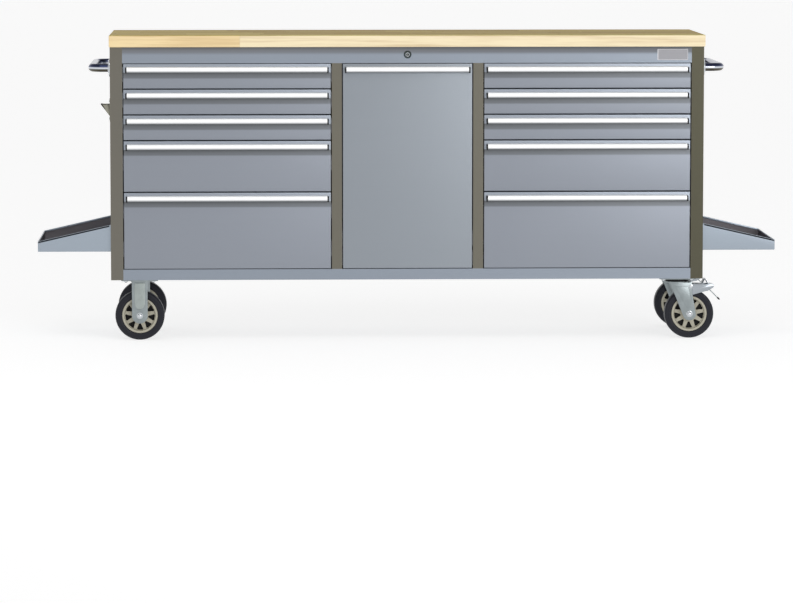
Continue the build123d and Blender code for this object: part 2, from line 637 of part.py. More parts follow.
def bin_first_y():
    """Y of the first bin's near side, with the row centred on the shelf."""
    row = BIN_COUNT * BIN_WIDTH + (BIN_COUNT - 1) * BIN_GAP
    return (BOX_FRONT_Y + BOX_BACK_Y - row) / 2


def pullout_bins():
    """Plastic bins with low, sloping fronts, standing side by side on the shelf."""
    x1 = bin_front_x()
    x0 = x1 - BIN_LENGTH
    z0, z1 = SHELF_Z, SHELF_Z + BIN_HEIGHT
    outline = [(x0, z0), (x1, z0), (x1, z0 + BIN_LIP), (x1 - BIN_NOSE, z1), (x0, z1)]
    bins = []
    for k in range(BIN_COUNT):
        y0 = bin_first_y() + k * (BIN_WIDTH + BIN_GAP)
        y1 = y0 + BIN_WIDTH
        hollow = block(x0 + BIN_WALL, x1 - BIN_WALL, y0 + BIN_WALL, y1 - BIN_WALL, z0 + BIN_WALL, z1)
        bins.append(one(along_y(outline, y0, y1) - hollow))
    return bins


# ------------------------------------------------------------------ lock
def catch_x(bay):
    """X of a catch's stem, near the left side of its bay."""
    return BAYS[bay][0] + SLIDE_SPACE + LOCK_STRIP_WIDTH


def lock_barrel():
    """The fixed barrel through the top rail, with its round bezel in front."""
    bezel = rod_y(0, LOCK_Z, LOCK_BEZEL / 2, FACE_Y - LOCK_BEZEL_HEIGHT, FACE_Y)
    barrel = rod_y(0, LOCK_Z, LOCK_BARREL / 2, FACE_Y, FACE_Y + LOCK_BARREL_LENGTH)
    bore = rod_y(0, LOCK_Z, LOCK_PLUG / 2 + PIN_GAP, FACE_Y - LOCK_BEZEL_HEIGHT,
                 FACE_Y + LOCK_BARREL_LENGTH)
    return [one(bezel + barrel - bore)]


def lock_cylinder():
    """The plug with its key slot, and the cam and drive pin behind it, turned to open."""
    y0 = FACE_Y - LOCK_BEZEL_HEIGHT
    plug = rod_y(0, LOCK_Z, LOCK_PLUG / 2, y0, LOCK_CAM_Y)
    slot = block(-KEY_SLOT_WIDTH / 2, KEY_SLOT_WIDTH / 2, y0, y0 + KEY_SLOT_DEPTH,
                 LOCK_Z - KEY_SLOT_LENGTH / 2, LOCK_Z + KEY_SLOT_LENGTH / 2)
    cam = rod_y(0, 0, LOCK_CAM_WIDTH / 2, LOCK_CAM_Y, LOCK_CAM_Y + LOCK_CAM_STEEL)
    cam += block(-LOCK_CAM_WIDTH / 2, LOCK_CAM_WIDTH / 2, LOCK_CAM_Y, LOCK_CAM_Y + LOCK_CAM_STEEL,
                 -LOCK_CAM_RADIUS - LOCK_PIN_DIAMETER, 0)
    pin_tip = LOCK_BAR_Y + LOCK_BAR_STEEL - RUN_GAP
    pin = rod_y(0, -LOCK_CAM_RADIUS, LOCK_PIN_DIAMETER / 2, LOCK_CAM_Y + LOCK_CAM_STEEL, pin_tip)
    turned = Pos(0, 0, LOCK_Z) * Rot(0, -LOCK_TURN / 2, 0) * (cam + pin)
    return [one(plug - slot), one(turned)]


def lock_pin_x():
    """X of the drive pin with the lock open."""
    return LOCK_SWING / 2


def finger_reach(bay):
    """X of a finger's tip with the lock open, just past its catch."""
    return catch_x(bay) + LOCK_CATCH_HOOK + LOCK_SIDE_CLEAR


def lock_linkage():
    """The bar behind the top rail, an arm and a strip behind each bay, and a finger for each drawer."""
    half = LOCK_BAR_HEIGHT / 2
    bar_top = LOCK_Z - LOCK_CAM_RADIUS / 2 ** 0.5 + half
    bar_bottom = bar_top - LOCK_BAR_HEIGHT
    y0, y1 = LOCK_BAR_Y, LOCK_BAR_Y + LOCK_BAR_STEEL
    stems = {bay: finger_reach(bay) + LOCK_FINGER for bay in BAYS}
    bar = block(stems["left"], stems["right"] + LOCK_STRIP_WIDTH, y0, y1, bar_bottom, bar_top)
    play = LOCK_PIN_DIAMETER / 2 + 2 * RUN_GAP
    bar -= block(lock_pin_x() - play, lock_pin_x() + play, y0, y1, bar_bottom, bar_top)
    pieces = list(bar.solids())
    strap_y = y1 + LOCK_BAR_STEEL
    bridge = block(lock_pin_x() - LOCK_STRIP_WIDTH, lock_pin_x() + LOCK_STRIP_WIDTH, y1, strap_y,
                   bar_bottom, bar_top)
    pieces.append(bridge)
    heights = {bay: [sum(box_span(low, high)) / 2 for _, low, high in drawer_levels()]
               for bay in ("left", "right")}
    heights["centre"] = [TRAY_FLOOR_Z + TRAY_BOX_HEIGHT / 2]
    for bay, x in stems.items():
        pieces.append(block(x, x + LOCK_BAR_STEEL, y1, STRIP_Y, bar_bottom, bar_top))
        strip = block(x, x + LOCK_STRIP_WIDTH, STRIP_Y, STRIP_Y + LOCK_BAR_STEEL,
                      min(heights[bay]) - LOCK_FINGER_HEIGHT, bar_top)
        for z in heights[bay]:
            low, high = z - LOCK_FINGER_HEIGHT / 2, z + LOCK_FINGER_HEIGHT / 2
            finger_y = CATCH_HOOK_Y - 2 * LOCK_BAR_STEEL - 2 * RUN_GAP
            strip += block(x, x + LOCK_BAR_STEEL, finger_y, STRIP_Y, low, high)
            strip += block(finger_reach(bay), x, finger_y, finger_y + LOCK_BAR_STEEL, low, high)
        pieces.append(one(strip))
    return pieces


# ------------------------------------------------------------------ casters
def bolt_places(x, y):
    """Centres of the four bolts of a caster plate."""
    return [(x + sx * CASTER_BOLT_X / 2, y + sy * CASTER_BOLT_Y / 2) for sx in (-1, 1) for sy in (-1, 1)]


def caster_plate(x, y):
    """A drilled plate and its four hexagon bolts."""
    plate = block(x - CASTER_PLATE_X / 2, x + CASTER_PLATE_X / 2, y - CASTER_PLATE_Y / 2,
                  y + CASTER_PLATE_Y / 2, PLATE_BOTTOM, BODY_BOTTOM)
    bolts = []
    for bolt_x, bolt_y in bolt_places(x, y):
        radius = CASTER_BOLT_DIAMETER / 2
        plate -= rod_z(bolt_x, bolt_y, radius + RUN_GAP, PLATE_BOTTOM, BODY_BOTTOM)
        head = hexagon_z(bolt_x, bolt_y, CASTER_BOLT_HEAD, PLATE_BOTTOM - CASTER_BOLT_HEAD_HEIGHT, PLATE_BOTTOM)
        bolts.append(one(head + rod_z(bolt_x, bolt_y, radius, PLATE_BOTTOM, BODY_BOTTOM + SHEET)))
    return plate, bolts


def axle(x, y):
    """The bolt through a fork and its wheel, with a round head at each end."""
    z = WHEEL_RADIUS
    shank = rod_y(x, z, AXLE_DIAMETER / 2, y - LEG_OUTER, y + LEG_OUTER)
    for y0 in (y - LEG_OUTER - AXLE_HEAD_HEIGHT, y + LEG_OUTER):
        shank += rod_y(x, z, AXLE_HEAD / 2, y0, y0 + AXLE_HEAD_HEIGHT)
    return one(shank)


def fork_leg(outline, foot_x, foot_radius, y0):
    """A flat fork leg with a round foot, drilled for the axle."""
    leg = along_y(outline, y0, y0 + PLATE)
    leg += rod_y(foot_x, WHEEL_RADIUS, foot_radius, y0, y0 + PLATE)
    return leg - rod_y(foot_x, WHEEL_RADIUS, AXLE_DIAMETER / 2 + PIN_GAP, y0, y0 + PLATE)


def rigid_caster(y):
    """A fixed caster on the left end: plate and fork in one, bolts and axle."""
    x = RIGID_X
    body, bolts = caster_plate(x, y)
    half = RIGID_LEG_WIDTH / 2
    outline = [(x - half, WHEEL_RADIUS), (x + half, WHEEL_RADIUS), (x + half, PLATE_BOTTOM),
               (x - half, PLATE_BOTTOM)]
    for y0, rib_y in ((y - LEG_OUTER, -RIGID_LEG_RIB), (y + LEG_INNER, PLATE)):
        body += fork_leg(outline, x, half, y0)
        body += block(x - half / 2, x + half / 2, y0 + rib_y, y0 + rib_y + RIGID_LEG_RIB,
                      WHEEL_RADIUS + half, PLATE_BOTTOM)
    return [one(body)] + bolts + [axle(x, y)]


def swivel_plate(y):
    """The fixed half of a swivel caster: plate with its upper race, bolts, and the kingpin."""
    x = SWIVEL_X
    plate, bolts = caster_plate(x, y)
    race_bottom = PLATE_BOTTOM - RACE_HEIGHT
    plate += rod_z(x, y, RACE_DIAMETER / 2, race_bottom, PLATE_BOTTOM)
    plate -= rod_z(x, y, KINGPIN_DIAMETER / 2, race_bottom, BODY_BOTTOM)
    head_top = race_bottom - PLATE - 2 * RUN_GAP
    pin = rod_z(x, y, KINGPIN_DIAMETER / 2, head_top, BODY_BOTTOM)
    pin += rod_z(x, y, KINGPIN_HEAD / 2, head_top - KINGPIN_HEAD_HEIGHT, head_top)
    return [one(plate)] + bolts + [one(pin)]


def swivel_fork(y):
    """The turning half: crown and two slanting legs, the axle and the pedal's pin."""
    x = SWIVEL_X
    top = PLATE_BOTTOM - RACE_HEIGHT - RUN_GAP
    crown = block(x + SWIVEL_LEG_FRONT, x + SWIVEL_LEG_REAR, y - LEG_OUTER, y + LEG_OUTER, top - PLATE, top)
    crown += rod_z(x, y, RACE_DIAMETER / 2, top - PLATE, top)
    body = crown - rod_z(x, y, KINGPIN_DIAMETER / 2 + PIN_GAP, top - PLATE, top)
    hub_x = x + TRAIL
    pin_x, pin_z = x + PEDAL_PIN_X, BODY_BOTTOM - PEDAL_PIN_DROP
    outline = [(x + SWIVEL_LEG_FRONT, top), (hub_x - SWIVEL_HUB_RADIUS, WHEEL_RADIUS),
               (hub_x + SWIVEL_HUB_RADIUS, WHEEL_RADIUS), (x + SWIVEL_LEG_REAR, pin_z - PEDAL_BARREL),
               (x + SWIVEL_LEG_REAR, top)]
    for y0 in (y - LEG_OUTER, y + LEG_INNER):
        body += fork_leg(outline, hub_x, SWIVEL_HUB_RADIUS, y0)
        boss = rod_y(pin_x, pin_z, PEDAL_PIN_DIAMETER, y0, y0 + PLATE)
        body += boss
        body -= rod_y(pin_x, pin_z, PEDAL_PIN_DIAMETER / 2, y0, y0 + PLATE)
    pin = rod_y(pin_x, pin_z, PEDAL_PIN_DIAMETER / 2, y - LEG_OUTER, y + LEG_OUTER)
    return [one(body), pin, axle(hub_x, y)]


def brake_pedal(y):
    """A pressed channel on the pedal's pin, astride the tyre, with a raised tread and a wire release lever."""
    x = SWIVEL_X + PEDAL_PIN_X
    z = BODY_BOTTOM - PEDAL_PIN_DROP
    steel, end, tread, low = PEDAL_STEEL, PEDAL_REACH, PEDAL_TREAD_X, PEDAL_SIDE_DROP
    inner = WHEEL_WIDTH / 2 + PEDAL_SIDE_GAP
    outer = inner + steel
    barrel = PEDAL_BARREL / 2
    top = barrel + PEDAL_COVER
    web = [(-top, top - steel), (tread - low / 2, top - steel), (tread, PEDAL_TREAD_RISE - steel),
           (tread + low / 3, top - steel), (end, top - 2 * steel)]
    lower = [(x + px, z + pz) for px, pz in web]
    upper = [(x + px, z + pz + steel) for px, pz in reversed(web)]
    body = along_y(lower + upper, y - outer, y + outer)
    cheek = [(-top, top), (top, top), (end, top - steel), (end, -top), (end - top, -2 * top - steel),
             (tread, -2 * top - steel), (top, -low), (-top, -2 * low / 3)]
    cheek = [(x + px, z + pz) for px, pz in cheek]
    for y0 in (y - outer, y + inner):
        body += along_y(cheek, y0, y0 + steel)
    body += rod_y(x, z, barrel, y - outer, y + outer)
    body -= rod_y(x, z, PEDAL_PIN_DIAMETER / 2 + PIN_GAP, y - outer, y + outer)
    slant = Pos(x + end - 1.5 * top, y - inner - steel / 2, z - 2 * top) * Rot(0, 135, 0)
    along = (Align.CENTER, Align.CENTER, Align.MIN)
    wire = slant * Cylinder(RELEASE_WIRE / 2, RELEASE_LENGTH, align=along)
    tip_length = RELEASE_LENGTH / 3
    tip = slant * Pos(0, 0, RELEASE_LENGTH) * Cylinder(RELEASE_TIP / 2, tip_length, align=along)
    return [one(body + wire), tip]


def wheel(x, y):
    """A rubber tyre on a spoked rim with a steel bush in its hub."""
    z = WHEEL_RADIUS
    half = WHEEL_WIDTH / 2
    tyre = rod_y(x, z, WHEEL_RADIUS, y - half, y + half)
    tyre = fillet(tyre.edges(), TREAD_ROUND) - rod_y(x, z, RIM_DIAMETER / 2, y - half, y + half)
    rim_half = RIM_WIDTH / 2
    rim = rod_y(x, z, RIM_DIAMETER / 2, y - rim_half, y + rim_half)
    disc_half = rim_half - RIM_RECESS
    inner = RIM_DIAMETER / 2 - RIM_WALL
    for y0, y1 in ((y - rim_half, y - disc_half), (y + disc_half, y + rim_half)):
        rim -= rod_y(x, z, inner, y0, y1)
    for k in range(SPOKE_WINDOWS):
        window = block(-WINDOW_WIDTH / 2, WINDOW_WIDTH / 2, -disc_half, disc_half, WINDOW_INNER, inner)
        rim -= Pos(x, y, z) * Rot(0, k * 360 / SPOKE_WINDOWS, 0) * window
    rim += rod_y(x, z, HUB_DIAMETER / 2, y - HUB_LENGTH / 2, y + HUB_LENGTH / 2)
    rim -= rod_y(x, z, BUSH_DIAMETER / 2, y - HUB_LENGTH / 2, y + HUB_LENGTH / 2)
    bush = rod_y(x, z, BUSH_DIAMETER / 2, y - HUB_LENGTH / 2, y + HUB_LENGTH / 2)
    bush -= rod_y(x, z, AXLE_DIAMETER / 2 + PIN_GAP, y - HUB_LENGTH / 2, y + HUB_LENGTH / 2)
    return [one(tyre), one(rim), one(bush)]


# ------------------------------------------------------------------ things on the ends
def side_tray():
    """The right-hand tray: an open box whose cheeks slope down from the cabinet."""
    x0, x1 = END_X, END_X + TRAY_LENGTH
    z0 = BODY_BOTTOM + TRAY_HEIGHT
    y0, y1 = FACE_Y + TRAY_MARGIN, BACK_Y - TRAY_MARGIN
    outline = [(x0, z0), (x1, z0), (x1, z0 + TRAY_LIP), (x0 + TRAY_TOP_FLAT, z0 + TRAY_BACK_WALL),
               (x0, z0 + TRAY_BACK_WALL)]
    hollow = block(x0 + SHEET, x1 - SHEET, y0 + SHEET, y1 - SHEET, z0 + SHEET, z0 + 2 * TRAY_BACK_WALL)
    return one(along_y(outline, y0, y1) - hollow)


def push_handle():
    """The right-hand push handle: a bent tube and its two flanges with their screw heads."""
    z = BODY_TOP - PUSH_DROP
    x0 = END_X + PUSH_FLANGE_THICKNESS
    x1 = END_X + PUSH_STANDOFF - PUSH_TUBE / 2
    y0, y1 = FACE_Y + PUSH_MARGIN, BACK_Y - PUSH_MARGIN
    route = FilletPolyline((x0, y0, z), (x1, y0, z), (x1, y1, z), (x0, y1, z), radius=PUSH_BEND)
    section = Plane(origin=(x0, y0, z), z_dir=(1, 0, 0)) * Circle(PUSH_TUBE / 2)
    pieces = [sweep(section, path=route)]
    for y in (y0, y1):
        upright = Pos(END_X, y, z) * Rot(0, 90, 0)
        flange = upright * Cylinder(PUSH_FLANGE / 2, PUSH_FLANGE_THICKNESS,
                                    align=(Align.CENTER, Align.CENTER, Align.MIN))
        for step in range(3):
            place = Rot(0, 0, 120 * step) * Pos(PUSH_SCREW_CIRCLE / 2, 0, PUSH_FLANGE_THICKNESS)
            head = Cylinder(PUSH_SCREW_HEAD / 2, PUSH_SCREW_HEIGHT, align=(Align.CENTER, Align.CENTER, Align.MIN))
            flange += upright * place * head
        pieces.append(one(flange))
    return pieces


def bottle_opener():
    """A screwed plate on the left end with a hood that lifts bottle caps."""
    x0 = -END_X
    y0 = FACE_Y + OPENER_SETBACK
    y1 = y0 + OPENER_WIDTH
    z1 = BODY_TOP - OPENER_TOP_DROP
    z0 = z1 - OPENER_HEIGHT
    plate = block(x0 - OPENER_STEEL, x0, y0, y1, z0, z1)
    hood_top = z1 - (OPENER_HEIGHT - OPENER_HOOD) / 2
    face = x0 - OPENER_STEEL
    outline = [(face, hood_top), (face - OPENER_REACH + OPENER_STEEL, hood_top), (face, hood_top - OPENER_HOOD)]
    hood = along_y(outline, y0, y1)
    steel = OPENER_STEEL
    hollow = [(face, hood_top - steel), (face - OPENER_REACH + 4 * steel, hood_top - steel),
              (face, hood_top - OPENER_HOOD + steel)]
    mouth = along_y(hollow, y0 + steel, y1 - steel)
    slot = block(face - OPENER_REACH / 2, face, y0 + 2 * steel, y1 - 2 * steel, hood_top - OPENER_HOOD,
                 hood_top - steel)
    body = one(plate + hood - mouth - slot)
    screws = []
    gap = (OPENER_HEIGHT - OPENER_HOOD) / 4
    for z in (z1 - gap, z0 + gap):
        head = Cylinder(PUSH_SCREW_HEAD / 2, PUSH_SCREW_HEIGHT, align=(Align.CENTER, Align.CENTER, Align.MIN))
        screws.append(Pos(face, (y0 + y1) / 2, z) * Rot(0, -90, 0) * head)
    return [body] + screws


# ------------------------------------------------------------------ nodes
def cabinet_slide_rails():
    """The fixed member of every slide."""
    pieces = []
    for _, low, high in drawer_levels():
        bottom, top = box_span(low, high)
        for z in slide_heights(top, bottom):
            for bay in ("left", "right"):
                pieces += on_both_walls(bay, lambda x, inward: [cabinet_member(x, inward, z)])
    for z in pullout_slide_heights():
        pieces += on_both_walls("centre", lambda x, inward: [cabinet_member(x, inward, z)])
    return pieces


def pullout_slides():
    pieces = []
    for z in pullout_slide_heights():
        pieces += on_both_walls("centre", lambda x, inward: middle_member(x, inward, z))
    return pieces


def all_nodes():
    """Every node of the bench and its solids."""
    tray, push = side_tray(), push_handle()
    nodes = {
        "worktop": worktop(),
        "side_panels": side_panels(),
        "back_panel": back_panel(),
        "base_pan": base_pan(),
        "front_frame": front_frame(),
        "partitions": partitions(),
        "top_braces": top_braces(),
        "cabinet_slide_rails": cabinet_slide_rails(),
        "push_handles": push + mirrored(push),
        "bottle_opener": bottle_opener(),
        "side_trays": [tray] + mirrored([tray]),
        "badge_plate": badge_plate(),
        "lock_barrel": lock_barrel(),
        "lock_cylinder": lock_cylinder(),
        "lock_linkage": lock_linkage(),
        "rigid_caster_forks": rigid_caster(CASTER_FRONT_Y) + rigid_caster(CASTER_REAR_Y),
        "swivel_caster_plates": swivel_plate(CASTER_FRONT_Y) + swivel_plate(CASTER_REAR_Y),
        "pullout_front": folded_front("centre", OPENING_BOTTOM, OPENING_TOP),
        "pullout_carcass": pullout_carcass(),
        "pullout_shelf": pullout_shelf(),
        "pullout_bins": pullout_bins(),
        "pullout_slides": pullout_slides(),
    }
    for place, y in (("front", CASTER_FRONT_Y), ("rear", CASTER_REAR_Y)):
        nodes[f"{place}_left_wheel"] = wheel(RIGID_X, y)
        nodes[f"{place}_right_wheel"] = wheel(SWIVEL_X + TRAIL, y)
        nodes[f"{place}_swivel_fork"] = swivel_fork(y)
        nodes[f"{place}_brake_pedal"] = brake_pedal(y)
    for bay in ("left", "right"):
        for number, low, high in drawer_levels():
            name = f"{bay}_drawer_{number}"
            nodes[f"{name}_front"] = folded_front(bay, low, high)
            nodes[f"{name}_box"] = drawer_box(bay, low, high)
            nodes[f"{name}_slides"] = drawer_slides(bay, low, high)
    return nodes


def main():
    os.makedirs("parts", exist_ok=True)
    for name, solids in all_nodes().items():
        export_step(Compound(children=list(solids)), f"parts/{name}.step")


if __name__ == "__main__":
    main()
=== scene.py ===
"""Looks of the rolling workbench: finishes for its built parts, and finer meshes where needed."""
from __future__ import annotations

import logging
import math
from dataclasses import dataclass, field
from enum import Enum
from typing import Callable, Sequence, Union

import bmesh
import bpy
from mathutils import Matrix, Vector

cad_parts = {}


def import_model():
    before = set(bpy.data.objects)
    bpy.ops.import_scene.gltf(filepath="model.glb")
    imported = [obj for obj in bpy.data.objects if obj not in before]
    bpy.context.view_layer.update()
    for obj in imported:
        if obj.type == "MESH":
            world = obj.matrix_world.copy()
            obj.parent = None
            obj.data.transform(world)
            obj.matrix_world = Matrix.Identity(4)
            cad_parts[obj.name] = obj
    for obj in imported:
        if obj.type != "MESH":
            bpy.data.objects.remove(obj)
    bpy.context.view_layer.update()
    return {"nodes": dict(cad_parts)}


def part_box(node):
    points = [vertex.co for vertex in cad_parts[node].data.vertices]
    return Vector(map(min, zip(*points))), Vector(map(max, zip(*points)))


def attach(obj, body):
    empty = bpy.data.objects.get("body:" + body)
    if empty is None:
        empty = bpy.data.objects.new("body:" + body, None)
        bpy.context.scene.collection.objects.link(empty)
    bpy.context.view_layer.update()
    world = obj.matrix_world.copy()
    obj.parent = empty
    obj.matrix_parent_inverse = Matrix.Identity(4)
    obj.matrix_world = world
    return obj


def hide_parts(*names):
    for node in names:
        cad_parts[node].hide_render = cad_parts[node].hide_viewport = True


LOG = logging.getLogger("workbench")
Colour = tuple[float, float, float]
Point = tuple[float, float, float]
Outline = list[tuple[float, float]]
Test = Callable[[Vector, Vector], bool]
BAYS = ("left", "right")
STEMS = [f"{bay}_drawer_{number}" for bay in BAYS for number in range(1, 6)]
PLACES = ("front", "rear")
SIDES = (-1, 1)
AXES = {"X": (1, 0, 0), "Y": (0, 1, 0), "Z": (0, 0, 1)}
FACING = 0.9  # how far along an axis a normal leans where its face looks that way
NEAR = 0.001  # how close to a plane counts as on it, in metres
MIDDLE = 0.01  # how close to the middle of a side the face is that fills it


# ---------------------------------------------------------------- shader sockets
def operator(operation: str, reflected: bool = False) -> Callable[["Link", "Value"], "Link"]:
    """A method that puts a link and another value through a Math node, the other first if reflected."""
    def method(self: "Link", other: "Value") -> "Link":
        """What the Math node makes of this value and another."""
        return self.math(operation, *((other, self) if reflected else (self, other)))
    return method


class Link:
    """A node's output that takes Python arithmetic; each step adds one Math node."""

    def __init__(self, recipe: "Recipe", socket: bpy.types.NodeSocket) -> None:
        """Keeps the recipe that new nodes go into, and the socket itself."""
        self.recipe = recipe
        self.socket = socket

    def math(self, operation: str, *operands: "Value") -> "Link":
        """Adds a Math node over the operands."""
        inputs = dict(enumerate(operands))
        return self.recipe.node("ShaderNodeMath", {"operation": operation}, inputs).out()

    __add__ = __radd__ = operator("ADD")
    __sub__, __rsub__ = operator("SUBTRACT"), operator("SUBTRACT", reflected=True)
    __mul__ = __rmul__ = operator("MULTIPLY")
    __truediv__ = operator("DIVIDE")
    __gt__, __lt__ = operator("GREATER_THAN"), operator("LESS_THAN")

    def __abs__(self) -> "Link":
        """This value without its sign."""
        return self.math("ABSOLUTE", self)

    def floor(self) -> "Link":
        """The whole number at or below this value."""
        return self.math("FLOOR", self)

    def ramp(self, low: float, high: float) -> "Link":
        """This value carried from low..high to 0..1, smoothly and without passing either end."""
        return self.recipe.node(
            "ShaderNodeMapRange", {"interpolation_type": "SMOOTHSTEP"},
            {"Value": self, "From Min": low, "From Max": high}).out("Result")


Value = Union[Link, float, int]


class Made:
    """A node just made, whose outputs are read as links."""

    def __init__(self, recipe: "Recipe", node: bpy.types.Node) -> None:
        """Keeps the recipe and the node."""
        self.recipe = recipe
        self.raw = node

    def out(self, key: int | str = 0) -> Link:
        """The output of that name or number."""
        return Link(self.recipe, self.raw.outputs[key])


class Recipe:
    """A material and the nodes that make it."""

    def __init__(self, name: str) -> None:
        """Starts an empty material with a shader and its output."""
        self.material = bpy.data.materials.new(name)
        self.material.use_nodes = True
        self.tree = self.material.node_tree
        self.tree.nodes.clear()
        self.shader = self.node("ShaderNodeBsdfPrincipled")
        self.node("ShaderNodeOutputMaterial", inputs={"Surface": self.shader.out()})

    def node(self, kind: str, settings: dict | None = None, inputs: dict | None = None) -> Made:
        """Makes any node.

        Args:
            kind: the node's type name.
            settings: its own properties, set before its sockets; "stops" fills a colour ramp.
            inputs: values or links for its sockets, by name or number.

        Returns:
            The node, ready to be read.
        """
        node = self.tree.nodes.new(kind)
        for name, value in (settings or {}).items():
            if name == "stops":
                self._stops(node.color_ramp, value)
            else:
                setattr(node, name, value)
        made = Made(self, node)
        for key, value in (inputs or {}).items():
            self.feed(node.inputs[key], value)
        return made

    @staticmethod
    def _stops(ramp: bpy.types.ColorRamp, stops: Sequence[tuple[float, Colour]]) -> None:
        """Fills a colour ramp with (place, colour) stops."""
        while len(ramp.elements) < len(stops):
            ramp.elements.new(0.5)
        for element, (place, colour) in zip(ramp.elements, stops):
            element.position = place
            element.color = (*colour, 1.0)

    def feed(self, socket: bpy.types.NodeSocket, value: object) -> None:
        """Links a socket, or sets it where the value is a constant."""
        if isinstance(value, Link):
            self.tree.links.new(value.socket, socket)
        elif isinstance(value, tuple) and len(value) == 3 and socket.type == "RGBA":
            socket.default_value = (*value, 1.0)
        else:
            socket.default_value = value

    def set(self, **sockets: object) -> None:
        """Feeds the shader's sockets; an underscore in a name stands for a space."""
        for name, value in sockets.items():
            self.feed(self.shader.raw.inputs[name.replace("_", " ")], value)

    def place(self) -> Link:
        """The surface's place in the bench's frame, in metres."""
        return self.node("ShaderNodeTexCoord").out("Object")

    def axes(self) -> tuple[Link, Link, Link]:
        """The surface's place as three numbers."""
        split = self.node("ShaderNodeSeparateXYZ", inputs={0: self.place()})
        return split.out(0), split.out(1), split.out(2)

    def rule(self) -> Link:
        """The height above a piece's own mark, which its mesh carries as the V of its UV map."""
        ruled = self.node("ShaderNodeTexCoord").out("UV")
        return self.node("ShaderNodeSeparateXYZ", inputs={0: ruled}).out(1)

    def stretched(self, per_metre: Point, place: Link | None = None) -> Link:
        """A place, or the surface's own, counted that many times to the metre on each axis."""
        return self.node("ShaderNodeVectorMath", {"operation": "MULTIPLY"},
                         {0: place or self.place(), 1: per_metre}).out()

    def noise(self, vector: Link, detail: float = 2.0, rough: float = 0.5) -> Link:
        """Soft noise from 0 to 1 over a vector."""
        return self.node("ShaderNodeTexNoise", {"noise_dimensions": "3D"},
                         {"Vector": vector, "Scale": 1.0, "Detail": detail, "Roughness": rough}).out(0)

    def blend(self, factor: Link, first: Link | Colour, second: Link | Colour,
              mode: str = "MIX") -> Link:
        """A colour between two others, or their product."""
        made = self.node("ShaderNodeMix", {"data_type": "RGBA", "blend_type": mode})
        colours = [s for s in made.raw.inputs if s.type == "RGBA"]
        self.feed(made.raw.inputs[0], factor)
        self.feed(colours[0], first)
        self.feed(colours[1], second)
        return Link(self, next(s for s in made.raw.outputs if s.type == "RGBA"))

    def relief(self, height: Link, depth: float) -> None:
        """Raises the surface by a height, depth metres deep."""
        self.set(Normal=self.node("ShaderNodeBump", inputs={"Height": height, "Distance": depth}).out())


# ---------------------------------------------------------------- finishes
@dataclass(frozen=True)
class Finish:
    """A surface finish, whose material is made on its first use."""

    name: str

    def material(self) -> bpy.types.Material:
        """The finish's material."""
        found = bpy.data.materials.get(self.name)
        if found is None:
            recipe = Recipe(self.name)
            self.mix(recipe)
            found = recipe.material
        return found

    def mix(self, recipe: Recipe) -> None:
        """Feeds the shader; each finish has its own way."""
        raise NotImplementedError


class Grain(Enum):
    """Which way the brushing of a steel sheet runs, as counts to the metre."""

    ALONG_X = (3.0, 260.0, 900.0)
    ALONG_Y = (260.0, 3.0, 900.0)
    ALONG_Z = (900.0, 260.0, 3.0)
    MIXED = (40.0, 260.0, 700.0)


@dataclass(frozen=True)
class BrushedSteel(Finish):
    """Stainless sheet with fine brushing and faint clouds."""

    tone: Colour
    roughness: float = 0.34
    grain: Grain = Grain.ALONG_X
    contrast: float = 0.07
    metallic: float = 0.9
    brushed: float = 0.55
    clouds: Point = (2.2, 2.2, 3.1)
    depth: float = 0.00004

    def mix(self, recipe: Recipe) -> None:
        """Brushing and clouds in tone and gloss."""
        brushing = recipe.noise(recipe.stretched(self.grain.value), detail=3.0, rough=0.7)
        clouds = recipe.noise(recipe.stretched(self.clouds))
        sheen = brushing * self.brushed + clouds * (1 - self.brushed)
        recipe.set(Base_Color=self.colour(recipe, sheen), Metallic=self.metallic,
                   Roughness=brushing * 0.10 + (self.roughness - 0.05))
        recipe.relief(brushing, self.depth)

    def shaded(self, recipe: Recipe, sheen: Link, tone: Colour) -> Link:
        """A tone made darker and lighter by the sheet's contrast."""
        dark, light = (tuple(c * (1 + s * self.contrast) for c in tone) for s in SIDES)
        return recipe.blend(sheen, dark, light)

    def colour(self, recipe: Recipe, sheen: Link) -> Link:
        """The sheet's tone all over."""
        return self.shaded(recipe, sheen, self.tone)


@dataclass(frozen=True)
class FasciaSteel(BrushedSteel):
    """Drawer steel, with the strip handle's shadow painted in a dark band under it and a painted
    highlight on the sheet above it.
    """

    # shade is the painted shadow under the handle strip; crest is a painted highlight on the sheet
    # above it
    shade: Colour = (0.1, 0.1, 0.1)
    crest: Colour = (0.4, 0.4, 0.4)
    reach: float = 0.0180
    fade: float = 0.0025

    def colour(self, recipe: Recipe, sheen: Link) -> Link:
        """The sheet's tone, with a painted highlight above the mark and a soft-edged band of painted
        shadow under it.
        """
        height = recipe.rule()
        band = height.ramp(-self.reach - self.fade, -self.reach + self.fade) * (height < 0.0)
        painted_shadow_strength = band * (height.ramp(-self.reach, 0.0) * 0.3 + 0.7)
        lit = recipe.blend(height > 0.0, super().colour(recipe, sheen), self.crest)
        return recipe.blend(painted_shadow_strength, lit, self.shade)


@dataclass(frozen=True)
class Extrusion(Finish):
    """Satin aluminium section: bright along its top, grey with painted shade where it curls under."""

    tone: Colour
    # under: painted shade on the curled underside
    under: Colour
    low: float = -0.001
    high: float = 0.0085

    def mix(self, recipe: Recipe) -> None:
        """The bright tone and the painted shade, by height above the strip's lower edge."""
        fine = recipe.noise(recipe.stretched(Grain.ALONG_X.value), detail=2.0)
        height = recipe.rule().ramp(self.low, self.high)
        recipe.set(Base_Color=recipe.blend(height, self.under, self.tone), Metallic=0.35,
                   Roughness=fine * 0.06 + 0.36)


